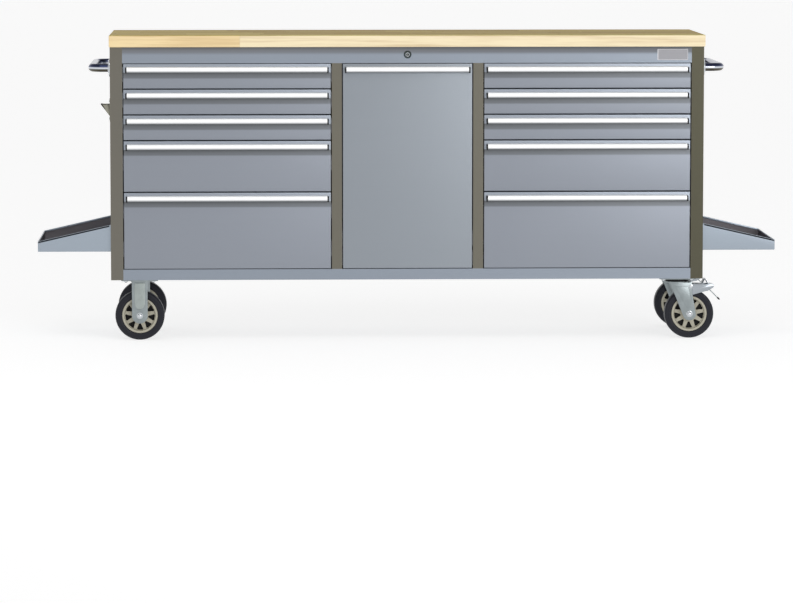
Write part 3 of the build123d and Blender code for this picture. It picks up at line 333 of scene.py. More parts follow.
@dataclass(frozen=True)
class FrameSteel(BrushedSteel):
    """The front frame's steel: rails between the posts are lighter, the posts' olive is painted
    reflection, and the worktop's shadow is painted on the rail under it.
    """

    grain: Grain = Grain.MIXED
    brushed: float = 0.5
    # right: the right post's tone, darker by painted shade; shade and deep: the worktop's painted
    # shadow on the top rail
    right: Colour = (0.3, 0.3, 0.3)
    rail: Colour = (0.3, 0.3, 0.3)
    shade: Colour = (0.1, 0.1, 0.1)
    deep: Colour = (0.05, 0.05, 0.05)
    half: float = 0.875
    shade_low: float = 0.880
    shade_high: float = 0.892
    top: float = 0.906

    def colour(self, recipe: Recipe, sheen: Link) -> Link:
        """Rail tone between the posts, a tone for each post with the right one darker by painted shade,
        and the worktop's painted shadow, darker towards the right.
        """
        x, _, z = recipe.axes()
        tones = (self.tone, self.right, self.rail)
        left, right, rail = (self.shaded(recipe, sheen, tone) for tone in tones)
        dim = recipe.blend(z.ramp(self.shade_high, self.top), self.shade, self.deep)
        # Painted shade: the worktop's shadow darkens towards the right.
        dim = recipe.blend(x.ramp(-0.6, 0.9) * 0.6, dim, (0.5,) * 3, "MULTIPLY")
        rails = recipe.blend(z.ramp(self.shade_low, self.shade_high) * 0.95, rail, dim)
        return recipe.blend(abs(x) > self.half, rails, recipe.blend(x > 0.0, left, right))


@dataclass(frozen=True)
class Polished(Finish):
    """Plated or polished metal with the faint waviness of a real surface."""

    tone: Colour
    roughness: float = 0.14
    waves: float = 18.0

    def mix(self, recipe: Recipe) -> None:
        """A near mirror, a little uneven in gloss."""
        waves = recipe.noise(recipe.stretched((self.waves,) * 3))
        recipe.set(Base_Color=self.tone, Metallic=1.0, Roughness=waves * 0.06 + (self.roughness - 0.03))


@dataclass(frozen=True)
class TubeChrome(Finish):
    """Chrome on a level tube, with a painted reflection: a dark room above and below a bright middle.
    """

    middle: float
    radius: float
    above: Colour
    bright: Colour
    below: Colour

    def mix(self, recipe: Recipe) -> None:
        """Painted reflection in bands by height round the tube's axis."""
        _, _, z = recipe.axes()
        height = ((z - self.middle) / self.radius) * 0.5 + 0.5
        stops = ((0.30, self.below), (0.46, self.bright), (0.50, self.bright), (0.64, self.above),
                 (0.98, self.above))
        bands = recipe.node("ShaderNodeValToRGB", {"stops": stops}, {"Fac": height}).out()
        recipe.set(Base_Color=bands, Metallic=1.0, Roughness=0.16)


@dataclass(frozen=True)
class ZincPlate(Finish):
    """Bright zinc plate on pressed steel, cloudy and a little blue."""

    tone: Colour
    roughness: float = 0.30
    clouds: float = 38.0
    dull: float = 0.86

    def mix(self, recipe: Recipe) -> None:
        """A clouded tone over a satin metal, clear behind the bench's middle."""
        _, y, _ = recipe.axes()
        clouds = recipe.noise(recipe.stretched((self.clouds,) * 3), detail=4.0, rough=0.6)
        dull = tuple(c * self.dull for c in self.tone)
        front = recipe.blend(clouds.ramp(0.3, 0.7), dull, self.tone)
        recipe.set(Base_Color=recipe.blend(y > 0.0, front, self.tone), Metallic=0.9,
                   Roughness=clouds * 0.16 + (self.roughness - 0.06))


@dataclass(frozen=True)
class Paint(Finish):
    """Baked paint with a faint orange peel."""

    tone: Colour
    roughness: float = 0.42
    metallic: float = 0.0
    peel: float = 700.0
    depth: float = 0.00006
    clouds: float = 4.0
    dim: float = 0.93

    def mix(self, recipe: Recipe) -> None:
        """An even tone over a pebbled surface."""
        peel = recipe.noise(recipe.stretched((self.peel,) * 3))
        clouds = recipe.noise(recipe.stretched((self.clouds,) * 3))
        dim = tuple(c * self.dim for c in self.tone)
        recipe.set(Base_Color=recipe.blend(clouds, dim, self.tone), Metallic=self.metallic,
                   Roughness=peel * 0.08 + (self.roughness - 0.04))
        recipe.relief(peel, self.depth)


@dataclass(frozen=True)
class Plastic(Finish):
    """Moulded plastic or rubber with a fine texture."""

    tone: Colour
    roughness: float = 0.4
    texture: float = 900.0
    depth: float = 0.00005
    shine: float = 0.5

    def mix(self, recipe: Recipe) -> None:
        """An even tone over a moulded texture."""
        bumps = recipe.noise(recipe.stretched((self.texture,) * 3), detail=1.0)
        recipe.set(Base_Color=self.tone, Specular_IOR_Level=self.shine,
                   Roughness=bumps * 0.08 + (self.roughness - 0.04))
        recipe.relief(bumps, self.depth)


@dataclass(frozen=True)
class PaleFloor(Finish):
    """A matt white floor with a low glow of its own."""

    tone: float = 0.45
    glow: float = 0.70

    def mix(self, recipe: Recipe) -> None:
        """White by its glow and by what falls on it."""
        recipe.set(Base_Color=(self.tone,) * 3, Roughness=0.9, Emission_Strength=1.0,
                   Emission_Color=(self.glow,) * 3)


@dataclass(frozen=True)
class ButcherBlock(Finish):
    """Oiled hardwood staves along X, finger-jointed end to end at random."""

    light: Colour
    mid: Colour
    dark: Colour
    stave_width: float = 0.0445
    stave_length: float = 0.46
    front_edge: float = -0.20
    front_joint: float = -0.5145
    front_length: float = 1.5
    # front_left and front_right: the front edge's tones either side of its joint, partly the staves'
    # own tone, partly painted light
    front_left: Colour = (0.8, 0.65, 0.4)
    front_right: Colour = (0.85, 0.75, 0.55)
    top_edge: float = 0.9405
    # top: painted shade multiplied over the top face
    top: Colour = (0.4, 0.35, 0.2)

    def _cell(self, recipe: Recipe, row: Link, column: Link, seed: float) -> Link:
        """A random number from 0 to 1 for each stave."""
        cell = recipe.node("ShaderNodeCombineXYZ", inputs={0: row, 1: column, 2: seed}).out()
        return recipe.node("ShaderNodeTexWhiteNoise", {"noise_dimensions": "3D"},
                           {"Vector": cell}).out(0)

    def mix(self, recipe: Recipe) -> None:
        """Staves, their grain, the fine dark lines of their joints, and painted shade over the top
        face.
        """
        x, y, z = recipe.axes()
        row = (y / self.stave_width).floor()
        shift = self._cell(recipe, row, z * 0.0, 3.7)
        inner = x / self.stave_length + shift * 7.3
        front = y < self.front_edge
        run = inner + front * ((x - self.front_joint) / self.front_length + 3.0 - inner)
        column = run.floor()
        tone = self._cell(recipe, row, column, 1.3)
        turn = self._cell(recipe, row, column, 8.9)
        shuffle = {0: tone * 31.0, 1: turn * 17.0, 2: 0.0}
        offset = recipe.node("ShaderNodeCombineXYZ", inputs=shuffle).out()
        local = recipe.node("ShaderNodeVectorMath", {"operation": "ADD"},
                            {0: recipe.place(), 1: offset}).out()
        fine = recipe.noise(recipe.stretched((9.0, 420.0, 420.0), local), detail=4.0, rough=0.65)
        figure = recipe.noise(recipe.stretched((2.6, 58.0, 58.0), local), detail=3.0, rough=0.6)
        stops = ((0.0, self.dark), (0.35, self.mid), (0.75, self.light), (1.0, self.mid))
        base = recipe.node("ShaderNodeValToRGB", {"stops": stops}, {"Fac": tone}).out()
        edge = recipe.blend(x > self.front_joint, self.front_left, self.front_right)
        base = recipe.blend(front, base, edge)
        streaked = recipe.blend(figure.ramp(0.42, 0.72) * 0.38, base, self.dark)
        fibred = recipe.blend(fine.ramp(0.5, 0.8) * 0.28, streaked, self.dark)
        across = abs(y / self.stave_width - row - 0.5)
        along = abs(run - column - 0.5)
        seam = across.ramp(0.484, 0.5) * 0.35 + along.ramp(0.4975, 0.4995) * (front * -0.5 + 0.55)
        joint = tuple(c * 0.55 for c in self.dark)
        staved = recipe.blend(seam, fibred, joint)
        # Painted shade: the top face is multiplied darker than the front edge.
        painted_top_shade = recipe.blend(z > self.top_edge, staved, self.top, "MULTIPLY")
        recipe.set(Base_Color=painted_top_shade, Roughness=fine * 0.12 + 0.50, Specular_IOR_Level=0.2)
        recipe.relief(fine * 0.6 - seam, 0.00008)


def srgb(red: float, green: float, blue: float) -> Colour:
    """A colour given as it looks on a screen, from 0 to 255, as light."""
    shares = (c / 255 for c in (red, green, blue))
    return tuple(s / 12.92 if s <= 0.04045 else ((s + 0.055) / 1.055) ** 2.4 for s in shares)


class Tone:
    """The bench's finishes, each named for what it covers."""

    FASCIA = BrushedSteel("Fascia_steel", srgb(145, 151, 158), roughness=0.44)
    # Drawer fronts: shade is a painted shadow under each handle, crest a painted highlight above it.
    DRAWER = FasciaSteel("Drawer_steel", srgb(142, 147, 156), roughness=0.42, shade=srgb(103, 106, 109),
                         crest=srgb(158, 165, 175))
    # Partitions' fronts: their olive tone is painted reflection, as on the frame's posts.
    POST = BrushedSteel("Post_steel", srgb(112, 109, 99), roughness=0.30, grain=Grain.ALONG_Z)
    # Front frame: the posts' olive is painted reflection, the right post darker by painted shade; shade
    # and deep paint the worktop's shadow on the top rail.
    FRAME = FrameSteel("Frame_steel", srgb(113, 110, 102), roughness=0.32, right=srgb(83, 81, 68),
                       rail=srgb(142, 150, 161), shade=srgb(121, 124, 130), deep=srgb(97, 98, 99))
    END = BrushedSteel("End_steel", srgb(138, 141, 144), roughness=0.33, grain=Grain.ALONG_Y)
    TRAY = BrushedSteel("Tray_steel", srgb(158, 168, 179), roughness=0.30, grain=Grain.ALONG_Y)
    # The trays' inner faces: the same steel, darker by painted shade.
    TRAY_INSIDE = BrushedSteel("Tray_inside", srgb(120, 117, 121), roughness=0.30)
    BADGE = BrushedSteel("Badge_steel", srgb(144, 144, 148), roughness=0.42, contrast=0.12)
    BADGE_EDGE = BrushedSteel("Badge_edge", srgb(186, 186, 190), roughness=0.36, contrast=0.06)
    LOCK = Polished("Lock_ring", srgb(72, 80, 82), roughness=0.24)
    PLUG = Polished("Lock_plug", srgb(150, 158, 155), roughness=0.22)
    # Handle strips: the second tone is painted shade on their curled underside.
    HANDLE = Extrusion("Handle_aluminium", srgb(253, 254, 255), srgb(112, 116, 120))
    CHROME = Polished("Chrome", srgb(206, 210, 214))
    PEDAL = Polished("Pedal_chrome", srgb(166, 172, 178), roughness=0.16)
    OPENER = Polished("Opener_steel", srgb(150, 148, 136), roughness=0.24)
    ZINC = ZincPlate("Caster_zinc", srgb(150, 158, 160))
    # Raised panels on the fixed forks' legs: lighter than the legs by a painted highlight.
    PANEL = ZincPlate("Caster_panel", srgb(164, 172, 170), roughness=0.40)
    SLIDE = Paint("Slide_zinc", srgb(206, 210, 214), roughness=0.36, metallic=0.7)
    STRIP = Paint("Strip_zinc", srgb(196, 204, 210), roughness=0.42, metallic=0.4)
    FRAME_PAINT = Paint("Cabinet_paint", srgb(96, 99, 103), roughness=0.5)
    BOX_PAINT = Paint("Drawer_paint", srgb(176, 189, 199))
    LOUVRE_PAINT = Paint("Pullout_paint", srgb(196, 203, 208))
    CAP = Plastic("Cap_plastic", srgb(9, 9, 12), roughness=0.5, shine=0.25)
    # A black sheet of painted shade, put behind the wheels' windows.
    SHADE_DISC = Plastic("Painted_shade_disc", srgb(12, 12, 14), roughness=0.85)
    TYRE = Plastic("Tyre_rubber", srgb(38, 39, 45), roughness=0.45, shine=0.15, texture=420.0,
                   depth=0.0001)
    RIM = Plastic("Rim_nylon", srgb(170, 166, 150), roughness=0.38)
    BIN = Plastic("Bin_blue", srgb(50, 84, 246), roughness=0.30)
    # Worktop: the front edge's tones are partly the staves' own, partly painted light; top is painted
    # shade over the top face.
    WOOD = ButcherBlock("Oiled_staves", srgb(238, 214, 172), srgb(230, 200, 152), srgb(178, 140, 92),
                        front_left=srgb(236, 213, 166), front_right=srgb(238, 223, 188),
                        top=(0.71, 0.72, 0.37))
    FLOOR = PaleFloor("Studio_floor")


# ---------------------------------------------------------------- modelling
class Shape:
    """One mesh being modelled with edit-mode tools, in the bench's own frame."""

    def __init__(self, piece: bpy.types.Object, name: str) -> None:
        """Takes over a new primitive and moves its place into its mesh."""
        self.piece = piece
        self.call(name)._only()
        bpy.ops.object.transform_apply(location=True, rotation=True, scale=True)

    def call(self, name: str) -> "Shape":
        """Names the piece and its mesh."""
        self.piece.name = self.piece.data.name = name
        return self

    def discard(self) -> None:
        """Takes the piece out of the scene."""
        bpy.data.objects.remove(self.piece)

    @staticmethod
    def clear() -> None:
        """Leaves nothing selected, so that an operator acts on one piece alone."""
        if bpy.context.object and bpy.context.object.mode != "OBJECT":
            bpy.ops.object.mode_set(mode="OBJECT")
        for other in list(bpy.context.selected_objects):
            other.select_set(False)

    def _only(self) -> None:
        """Selects this piece alone."""
        self.clear()
        self.piece.select_set(True)
        bpy.context.view_layer.objects.active = self.piece

    def _edit(self, action: str = "SELECT", kind: str | None = None) -> None:
        """Goes into edit mode on this piece alone, with all or none of its elements selected."""
        self._only()
        bpy.ops.object.mode_set(mode="EDIT")
        if kind:
            bpy.ops.mesh.select_mode(type=kind)
        bpy.ops.mesh.select_all(action=action)

    @classmethod
    def block(cls, name: str, low: Sequence[float], high: Sequence[float]) -> "Shape":
        """A block between two corners."""
        cls.clear()
        middle = [(a + b) / 2 for a, b in zip(low, high)]
        bpy.ops.mesh.primitive_cube_add(size=1.0, location=middle,
                                        scale=[b - a for a, b in zip(low, high)])
        return cls(bpy.context.object, name)

    @classmethod
    def disc(cls, name: str, centre: Point, radius: float, axis: str = "Y", sides: int = 48,
             depth: float | None = None) -> "Shape":
        """A round blank standing across an axis: a flat face, or a bar where it has a depth."""
        cls.clear()
        quarter = math.pi / 2
        turn = {"X": (0.0, quarter, 0.0), "Y": (quarter, 0.0, 0.0), "Z": (0.0, 0.0, 0.0)}[axis]
        shared = {"vertices": sides, "radius": radius, "location": centre, "rotation": turn}
        if depth is None:
            bpy.ops.mesh.primitive_circle_add(fill_type="NGON", **shared)
        else:
            bpy.ops.mesh.primitive_cylinder_add(depth=depth, **shared)
        return cls(bpy.context.object, name)

    @classmethod
    def plate(cls, name: str, outline: Outline, start: float, end: float, axis: str = "Y") -> "Shape":
        """A flat outline given thickness along an axis.

        Args:
            name: the piece's name.
            outline: corners in the plane across the axis: (x, z) for Y, (y, z) for X, (x, y) for Z.
            start: one face's place on the axis.
            end: the other face's place.
            axis: the axis it is thick along.

        Returns:
            The plate.
        """
        cls.clear()
        start, end = sorted((start, end))
        place = {"Y": lambda a, b: (a, start, b), "X": lambda a, b: (start, a, b),
                 "Z": lambda a, b: (a, b, start)}[axis]
        bpy.ops.mesh.primitive_circle_add(vertices=len(outline), radius=1.0, fill_type="NGON")
        shape = cls(bpy.context.object, name)
        for vertex, (a, b) in zip(shape.piece.data.vertices, outline):
            vertex.co = place(a, b)
        return shape.pick(lambda c, n: True).extrude(Vector(AXES[axis]) * (end - start)).mend()

    @classmethod
    def turned(cls, name: str, profile: Outline, centre: Point, axis: str = "Y",
               steps: int = 48) -> "Shape":
        """A profile of (radius, place along the axis) points, spun round that axis.

        Args:
            name: the piece's name.
            profile: the outline's points; a radius of 0 closes a pole.
            centre: a point on the axis, from which places along it count.
            axis: the axis it is spun round.
            steps: how many steps make the full turn.

        Returns:
            The turned piece, closed.
        """
        cls.clear()
        bpy.ops.mesh.primitive_circle_add(vertices=len(profile), radius=1.0, fill_type="NOTHING")
        shape = cls(bpy.context.object, name)
        spread = {"X": lambda r, t: (t, r, 0.0), "Y": lambda r, t: (r, t, 0.0),
                  "Z": lambda r, t: (r, 0.0, t)}[axis]
        for vertex, (radius, along) in zip(shape.piece.data.vertices, profile):
            vertex.co = Vector(centre) + Vector(spread(radius, along))
        shape._edit()
        bpy.ops.mesh.spin(steps=steps, angle=math.tau, center=centre, axis=AXES[axis])
        return shape.mend()

    def pick(self, wanted: Test) -> "Shape":
        """Selects the faces whose centre and normal the test takes, and stays in edit mode."""
        self._edit("DESELECT", "FACE")
        for face in bmesh.from_edit_mesh(self.piece.data).faces:
            face.select_set(bool(wanted(face.calc_center_median(), face.normal)))
        bmesh.update_edit_mesh(self.piece.data)
        return self

    def pick_edges(self, wanted: Test) -> "Shape":
        """Selects the edges whose middle and direction the test takes, and stays in edit mode."""
        self._edit("DESELECT", "EDGE")
        for edge in bmesh.from_edit_mesh(self.piece.data).edges:
            first, last = (v.co for v in edge.verts)
            edge.select_set(bool(wanted((first + last) / 2, (last - first).normalized())))
        bmesh.update_edit_mesh(self.piece.data)
        return self

    def round_edges(self, width: float, segments: int = 3) -> "Shape":
        """Bevels the picked edges."""
        bpy.ops.mesh.bevel(offset=width, offset_type="OFFSET", segments=segments, affect="EDGES")
        return self.leave()

    def extrude(self, step: Sequence[float]) -> "Shape":
        """Draws what is picked out by a step, and stays in edit mode."""
        bpy.ops.mesh.extrude_region_move(TRANSFORM_OT_translate={"value": step})
        return self

    def inset(self, width: float, depth: float = 0.0) -> "Shape":
        """Insets the picked faces, and sinks them by a depth."""
        bpy.ops.mesh.inset(thickness=width, depth=depth)
        return self.leave()

    def drop(self) -> "Shape":
        """Deletes the picked faces."""
        bpy.ops.mesh.delete(type="FACE")
        return self.leave()

    def open_up(self, axis: int, lip: float) -> "Shape":
        """Opens the side that faces up an axis, 0 to 2, and leaves a lip round the opening."""
        places = zip(*(vertex.co.copy() for vertex in self.piece.data.vertices))
        middle = [(min(place) + max(place)) / 2 for place in places]
        across = [k for k in range(3) if k != axis]
        self.pick(lambda c, n: n[axis] > FACING).inset(lip)
        self.pick(lambda c, n: n[axis] > FACING and all(abs(c[k] - middle[k]) < MIDDLE for k in across))
        return self.drop().mend()

    def leave(self) -> "Shape":
        """Goes back to object mode."""
        bpy.ops.object.mode_set(mode="OBJECT")
        return self

    def mend(self) -> "Shape":
        """Merges doubled points and turns every face outwards."""
        self._edit()
        bpy.ops.mesh.remove_doubles(threshold=0.000005)
        bpy.ops.mesh.normals_make_consistent(inside=False)
        return self.leave()

    def modify(self, kind: str, **settings: object) -> "Shape":
        """Adds a modifier with its settings and applies it."""
        self._only()
        modifier = self.piece.modifiers.new(kind.title(), kind)
        for name, value in settings.items():
            setattr(modifier, name, value)
        bpy.ops.object.modifier_apply(modifier=modifier.name)
        return self

    def cut(self, cutter: "Shape") -> "Shape":
        """Cuts another shape out of this one, and uses it up."""
        self.modify("BOOLEAN", object=cutter.piece, operation="DIFFERENCE", solver="EXACT")
        cutter.discard()
        return self

    def soften(self, width: float, segments: int = 2) -> "Shape":
        """Rounds every fold sharper than 35 degrees."""
        return self.modify("BEVEL", width=width, segments=segments, limit_method="ANGLE",
                           angle_limit=math.radians(35.0), harden_normals=False)

    def thicken(self, thickness: float) -> "Shape":
        """Gives a shell its wall, on the side away from its normals."""
        return self.modify("SOLIDIFY", thickness=thickness, offset=-1.0, use_even_offset=True)

    def array(self, count: int, step: Point) -> "Shape":
        """Repeats the piece in a row, as one mesh."""
        return self.modify("ARRAY", count=count, use_relative_offset=False, use_constant_offset=True,
                           constant_offset_displace=step)

    def copy(self, name: str, shift: Point = (0.0, 0.0, 0.0)) -> "Shape":
        """A copy with its own mesh, moved by a shift."""
        self._only()
        bpy.ops.object.duplicate(linked=False)
        copied = bpy.context.object
        copied.location = shift
        return Shape(copied, name)

    def turn(self, angle: float, centre: Point) -> "Shape":
        """Turns the mesh about a line along Y through a point, in degrees by the right-hand rule."""
        self._edit()
        bpy.ops.transform.rotate(value=-math.radians(angle), orient_axis="Y", center_override=centre)
        return self.leave()

    def mirrored(self, name: str, angle: float = 40.0) -> "Shape":
        """A copy on the other side of the bench's middle, smoothed to an angle in degrees."""
        twin = self.copy(name)
        twin._edit()
        bpy.ops.transform.resize(value=(-1, 1, 1), center_override=(0, 0, 0))
        return twin.leave().mend().smooth(angle)

    def join(self, *others: "Shape") -> "Shape":
        """Joins other shapes into this one, keeping their finishes."""
        self._only()
        for other in others:
            other.piece.select_set(True)
        bpy.ops.object.join()
        return self

    def paint(self, finish: Finish) -> "Shape":
        """Gives the whole shape one finish."""
        self.piece.data.materials.clear()
        self.piece.data.materials.append(finish.material())
        return self

    def tint(self, finish: Finish, wanted: Test) -> "Shape":
        """Gives the faces wanted, by their centre and normal, a finish of their own."""
        self.piece.data.materials.append(finish.material())
        self.pick(wanted)
        self.piece.active_material_index = len(self.piece.data.materials) - 1
        bpy.ops.object.material_slot_assign()
        return self.leave()

    def mark(self, level: float) -> "Shape":
        """Writes each corner's height above a level into the UV map, as its V."""
        mesh = self.piece.data
        layer = mesh.uv_layers.active or mesh.uv_layers.new(name="Height")
        for corner in mesh.loops:
            place = mesh.vertices[corner.vertex_index].co
            layer.data[corner.index].uv = (place.x, place.z - level)
        return self

    def smooth(self, angle: float = 40.0) -> "Shape":
        """Smooths the shading across folds flatter than an angle in degrees."""
        self._only()
        bpy.ops.object.shade_smooth_by_angle(angle=math.radians(angle))
        return self

    def mount(self, body: str, slot: str, *nodes: str) -> None:
        """Lets the piece ride a body, and hides the built nodes it stands for."""
        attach(self.piece, body)
        if nodes:
            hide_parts(*nodes)
        LOG.info("%s: %d faces on %s", self.piece.name, len(self.piece.data.polygons), body)


def centre_of(node: str) -> Vector:
    """The middle of a built node's box."""
    low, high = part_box(node)
    return (low + high) / 2


def dress(node: bpy.types.Object, finish: Finish) -> None:
    """Gives a built node one finish through its material slots."""
    if not node.material_slots:
        node.data.materials.append(finish.material())
    for held in node.material_slots:
        held.material = finish.material()


def arc(centre: tuple[float, float], radius: float, start: float, end: float,
        steps: int = 6) -> Outline:
    """Points along an arc in a plane.

    Args:
        centre: the arc's centre.
        radius: its radius.
        start: the angle of its first point, in degrees.
        end: the angle of its last point.
        steps: how many chords it has.

    Returns:
        The points, first and last included.
    """
    angles = (math.radians(start + (end - start) * k / steps) for k in range(steps + 1))
    return [(centre[0] + radius * math.cos(a), centre[1] + radius * math.sin(a)) for a in angles]


def strip(path: Outline, thickness: float) -> Outline:
    """The closed outline of a strip whose outer face follows a path, its wall to the path's right."""
    inner = []
    for k, point in enumerate(path):
        before, after = path[max(k - 1, 0)], path[min(k + 1, len(path) - 1)]
        along = Vector((after[0] - before[0], after[1] - before[1])).normalized()
        inner.append((point[0] + along.y * thickness, point[1] - along.x * thickness))
    return path + inner[::-1]


def rounded(x0: float, x1: float, z0: float, z1: float, radius: float) -> Outline:
    """The outline of a rectangle with rounded corners."""
    middles = ((x1 - radius, z1 - radius), (x0 + radius, z1 - radius),
               (x0 + radius, z0 + radius), (x1 - radius, z0 + radius))
    return [point for k, middle in enumerate(middles)
            for point in arc(middle, radius, 90 * k, 90 * k + 90, 5)]


def closed(half: Outline) -> Outline:
    """A turned profile completed by its own mirror image across the wheel's middle."""
    return half + [(a, -b) for a, b in half[::-1]]


@dataclass
class Front:
    """A front folded from sheet, with an extruded handle strip and its two end caps."""

    projection: float = 0.020
    depth: float = 0.018
    sheet: float = 0.0015
    lip: float = 0.015
    fold: float = 0.0024
    handle_drop: float = 0.0095
    handle_height: float = 0.0175
    cap_drop: float = 0.002
    handle_wall: float = 0.0022
    handle_inset: float = 0.007
    crown: float = 0.006
    curl: float = 0.0045
    cap_length: float = 0.0045
    wide: float = 0.5
    made: dict[tuple[float, float], tuple[Vector, list[Shape]]] = field(default_factory=dict)

    def pan(self, low: Vector, high: Vector) -> Shape:
        """The folded sheet: face, four sides and the lips that close in behind them."""
        face = low.y + self.projection
        pan = Shape.block("pan", (low.x, face, low.z), tuple(high))
        pan.pick_edges(lambda c, d: c.y < face + NEAR).round_edges(self.fold, 4).open_up(1, self.lip)
        # The mark at the handle's foot places the painted shadow under the handle.
        pan.thicken(self.sheet).smooth().mark(high.z - self.handle_drop - self.handle_height)
        return pan.paint(Tone.DRAWER if high.x - low.x > self.wide else Tone.FASCIA)

    def handle(self, low: Vector, high: Vector) -> Shape:
        """The strip that hooks over the fingertips, rounded at the crown and curled at the bottom."""
        face, nose = low.y + self.projection, low.y
        top = high.z - self.handle_drop
        foot = top - self.handle_height
        path = ([(face, top)] + arc((nose + self.crown, top - self.crown), self.crown, 90, 180)
                + arc((nose + self.curl, foot + self.curl), self.curl, 180, 245))
        outline = strip(path[::-1], self.handle_wall)
        ends = self.handle_inset + self.cap_length
        made = Shape.plate("handle", outline, low.x + ends, high.x - ends, axis="X")
        return made.smooth(50).mark(foot).paint(Tone.HANDLE)

    def caps(self, low: Vector, high: Vector) -> Shape:
        """The moulded cap at each end of the strip, with two lobes round the strip's folds."""
        face, nose = low.y + self.projection, low.y
        top = high.z - self.handle_drop - self.cap_drop
        foot = top - self.handle_height
        waist = (face + nose) / 2
        outline = ([(face, foot + self.crown), (face, top)]
                   + arc((nose + self.crown, top - self.crown), self.crown, 90, 180)
                   + arc((nose + self.curl, foot + self.curl), self.curl, 180, 300)
                   + [(waist, foot + 1.2 * self.crown)])
        left = low.x + self.handle_inset
        caps = Shape.plate("caps", outline, left, left + self.cap_length, axis="X")
        caps.soften(0.0005)
        shift = high.x - low.x - 2 * self.handle_inset - self.cap_length
        return caps.join(caps.copy("cap", (shift, 0.0, 0.0))).smooth().paint(Tone.CAP)

    def shapes(self, node: str, stem: str) -> list[Shape]:
        """The three shapes of one front, copied from the first front of that size."""
        low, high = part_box(node)
        size = (round(high.x - low.x, 4), round(high.z - low.z, 4))
        names = [f"{stem}_{part}" for part in ("pan", "handle", "caps")]
        if size not in self.made:
            shapes = [self.pan(low, high), self.handle(low, high), self.caps(low, high)]
            for shape, name in zip(shapes, names):
                shape.call(name)
            self.made[size] = (low, shapes)
            return shapes
        first, shapes = self.made[size]
        return [shape.copy(name, low - first) for shape, name in zip(shapes, names)]

    def build(self) -> None:
        """Makes all eleven fronts, then lets them ride their drawers."""
        fronts = [(f"{stem}_front", stem) for stem in STEMS]
        fronts.append(("pullout_front", "pull_out"))
        made = [(self.shapes(node, body), node, body) for node, body in fronts]
        for (pan, handle, caps), node, body in made:
            pan.mount(body, "front_steel", node)
            handle.mount(body, "front_steel")
            caps.mount(body, "front_steel")


@dataclass
class Wheel:
    """A solid tyre on a moulded rim with wedge windows, a steel bush in its hub, and a black disc of
    painted shade that keeps the windows dark.
    """

    tyre_radius: float = 0.076
    rim_radius: float = 0.055
    half_width: float = 0.0225
    tread_round: float = 0.008
    windows: int = 9
    window_inner: float = 0.0255
    window_outer: float = 0.0455
    window_narrow: float = 0.0042
    window_wide: float = 0.0104
    # the black disc of painted shade inside the rim's windows
    shade_disc_inner: float = 0.0205
    shade_disc_outer: float = 0.0468
    shade_disc_half: float = 0.002
    hub_radius: float = 0.020
    bush_radius: float = 0.010
    bore: float = 0.0061
    steps: int = 72

    def tyre(self, centre: Point) -> Shape:
        """The rubber: sunk sidewalls, a fine step at the shoulder and a rounded tread."""
        r, w, t = self.tyre_radius, self.half_width, self.tread_round
        side = [(self.rim_radius, w - 0.004), (self.rim_radius + 0.002, w - 0.0015),
                (0.0595, w - 0.0006), (0.0625, w - 0.0006), (0.0632, w), (0.0655, w),
                (0.0662, w - 0.0008)]
        crown = [(r - t + t * math.cos(a), w - t + t * math.sin(a))
                 for a in (math.radians(70 - 14 * k) for k in range(6))]
        tyre = Shape.turned("tyre", closed(side + crown), centre, steps=self.steps)
        return tyre.smooth(32).paint(Tone.TYRE)

    def window(self, centre: Point) -> Shape:
        """The cutter for one window: narrow and round towards the hub, wide at the ring."""
        x, y, z = centre
        low, high = z + self.window_inner, z + self.window_outer
        n, w, c = self.window_narrow, self.window_wide, 0.003
        outline = ([(x + w - c, high), (x - w + c, high), (x - w, high - c)]
                   + arc((x, low + n), n, 180, 360, 8) + [(x + w, high - c)])
        return Shape.plate("window", outline, y - 0.03, y + 0.03)

    def rim(self, centre: Point) -> Shape:
        """The moulding: hub, spoked disc and the ring that the tyre sits on, with a black disc of
        painted shade across its middle.
        """
        half = [(self.bush_radius, 0.0249), (0.0175, 0.0249), (self.hub_radius, 0.0230),
                (0.0212, 0.0125), (0.0235, 0.0108), (0.0458, 0.0108), (0.0470, 0.0118),
                (0.0476, 0.0172), (0.0486, 0.0190), (0.0538, 0.0190), (0.0549, 0.0182)]
        rim = Shape.turned("rim", closed(half), centre, steps=self.steps)
        for k in range(self.windows):
            rim.cut(self.window(centre).turn(360 * (k + 0.5) / self.windows, centre))
        rim.mend().smooth(32).paint(Tone.RIM)
        # A thin black disc across the rim's middle: painted shade that darkens the windows.
        inner, outer, deep = self.shade_disc_inner, self.shade_disc_outer, self.shade_disc_half
        profile = [(inner, -deep), (inner, deep), (outer, deep), (outer, -deep)]
        web = Shape.turned("web", profile, centre, steps=self.steps)
        return rim.join(web.paint(Tone.SHADE_DISC))

    def bush(self, centre: Point) -> Shape:
        """The steel bush that turns on the axle."""
        half = [(self.bore, 0.0250), (self.bush_radius - 0.0006, 0.0250), (self.bush_radius, 0.0244)]
        return Shape.turned("bush", closed(half), centre, steps=36).smooth().paint(Tone.ZINC)

    def build(self) -> None:
        """Models one wheel and copies it to the other three places."""
        names = [f"{place}_{side}_wheel" for side in BAYS for place in PLACES]
        first = tuple(centre_of(names[0]))
        masters = {"tyre": self.tyre(first), "rim": self.rim(first), "bush": self.bush(first)}
        sets = [[master.copy(f"{name}_{part}", centre_of(name) - Vector(first))
                 for part, master in masters.items()] for name in names[1:]]
        sets.insert(0, [master.call(f"{names[0]}_{part}") for part, master in masters.items()])
        for name, (tyre, rim, bush) in zip(names, sets):
            tyre.mount(name, "wheel_rubber", name)
            rim.mount(name, "wheel_rubber")
            bush.mount(name, "caster_zinc")


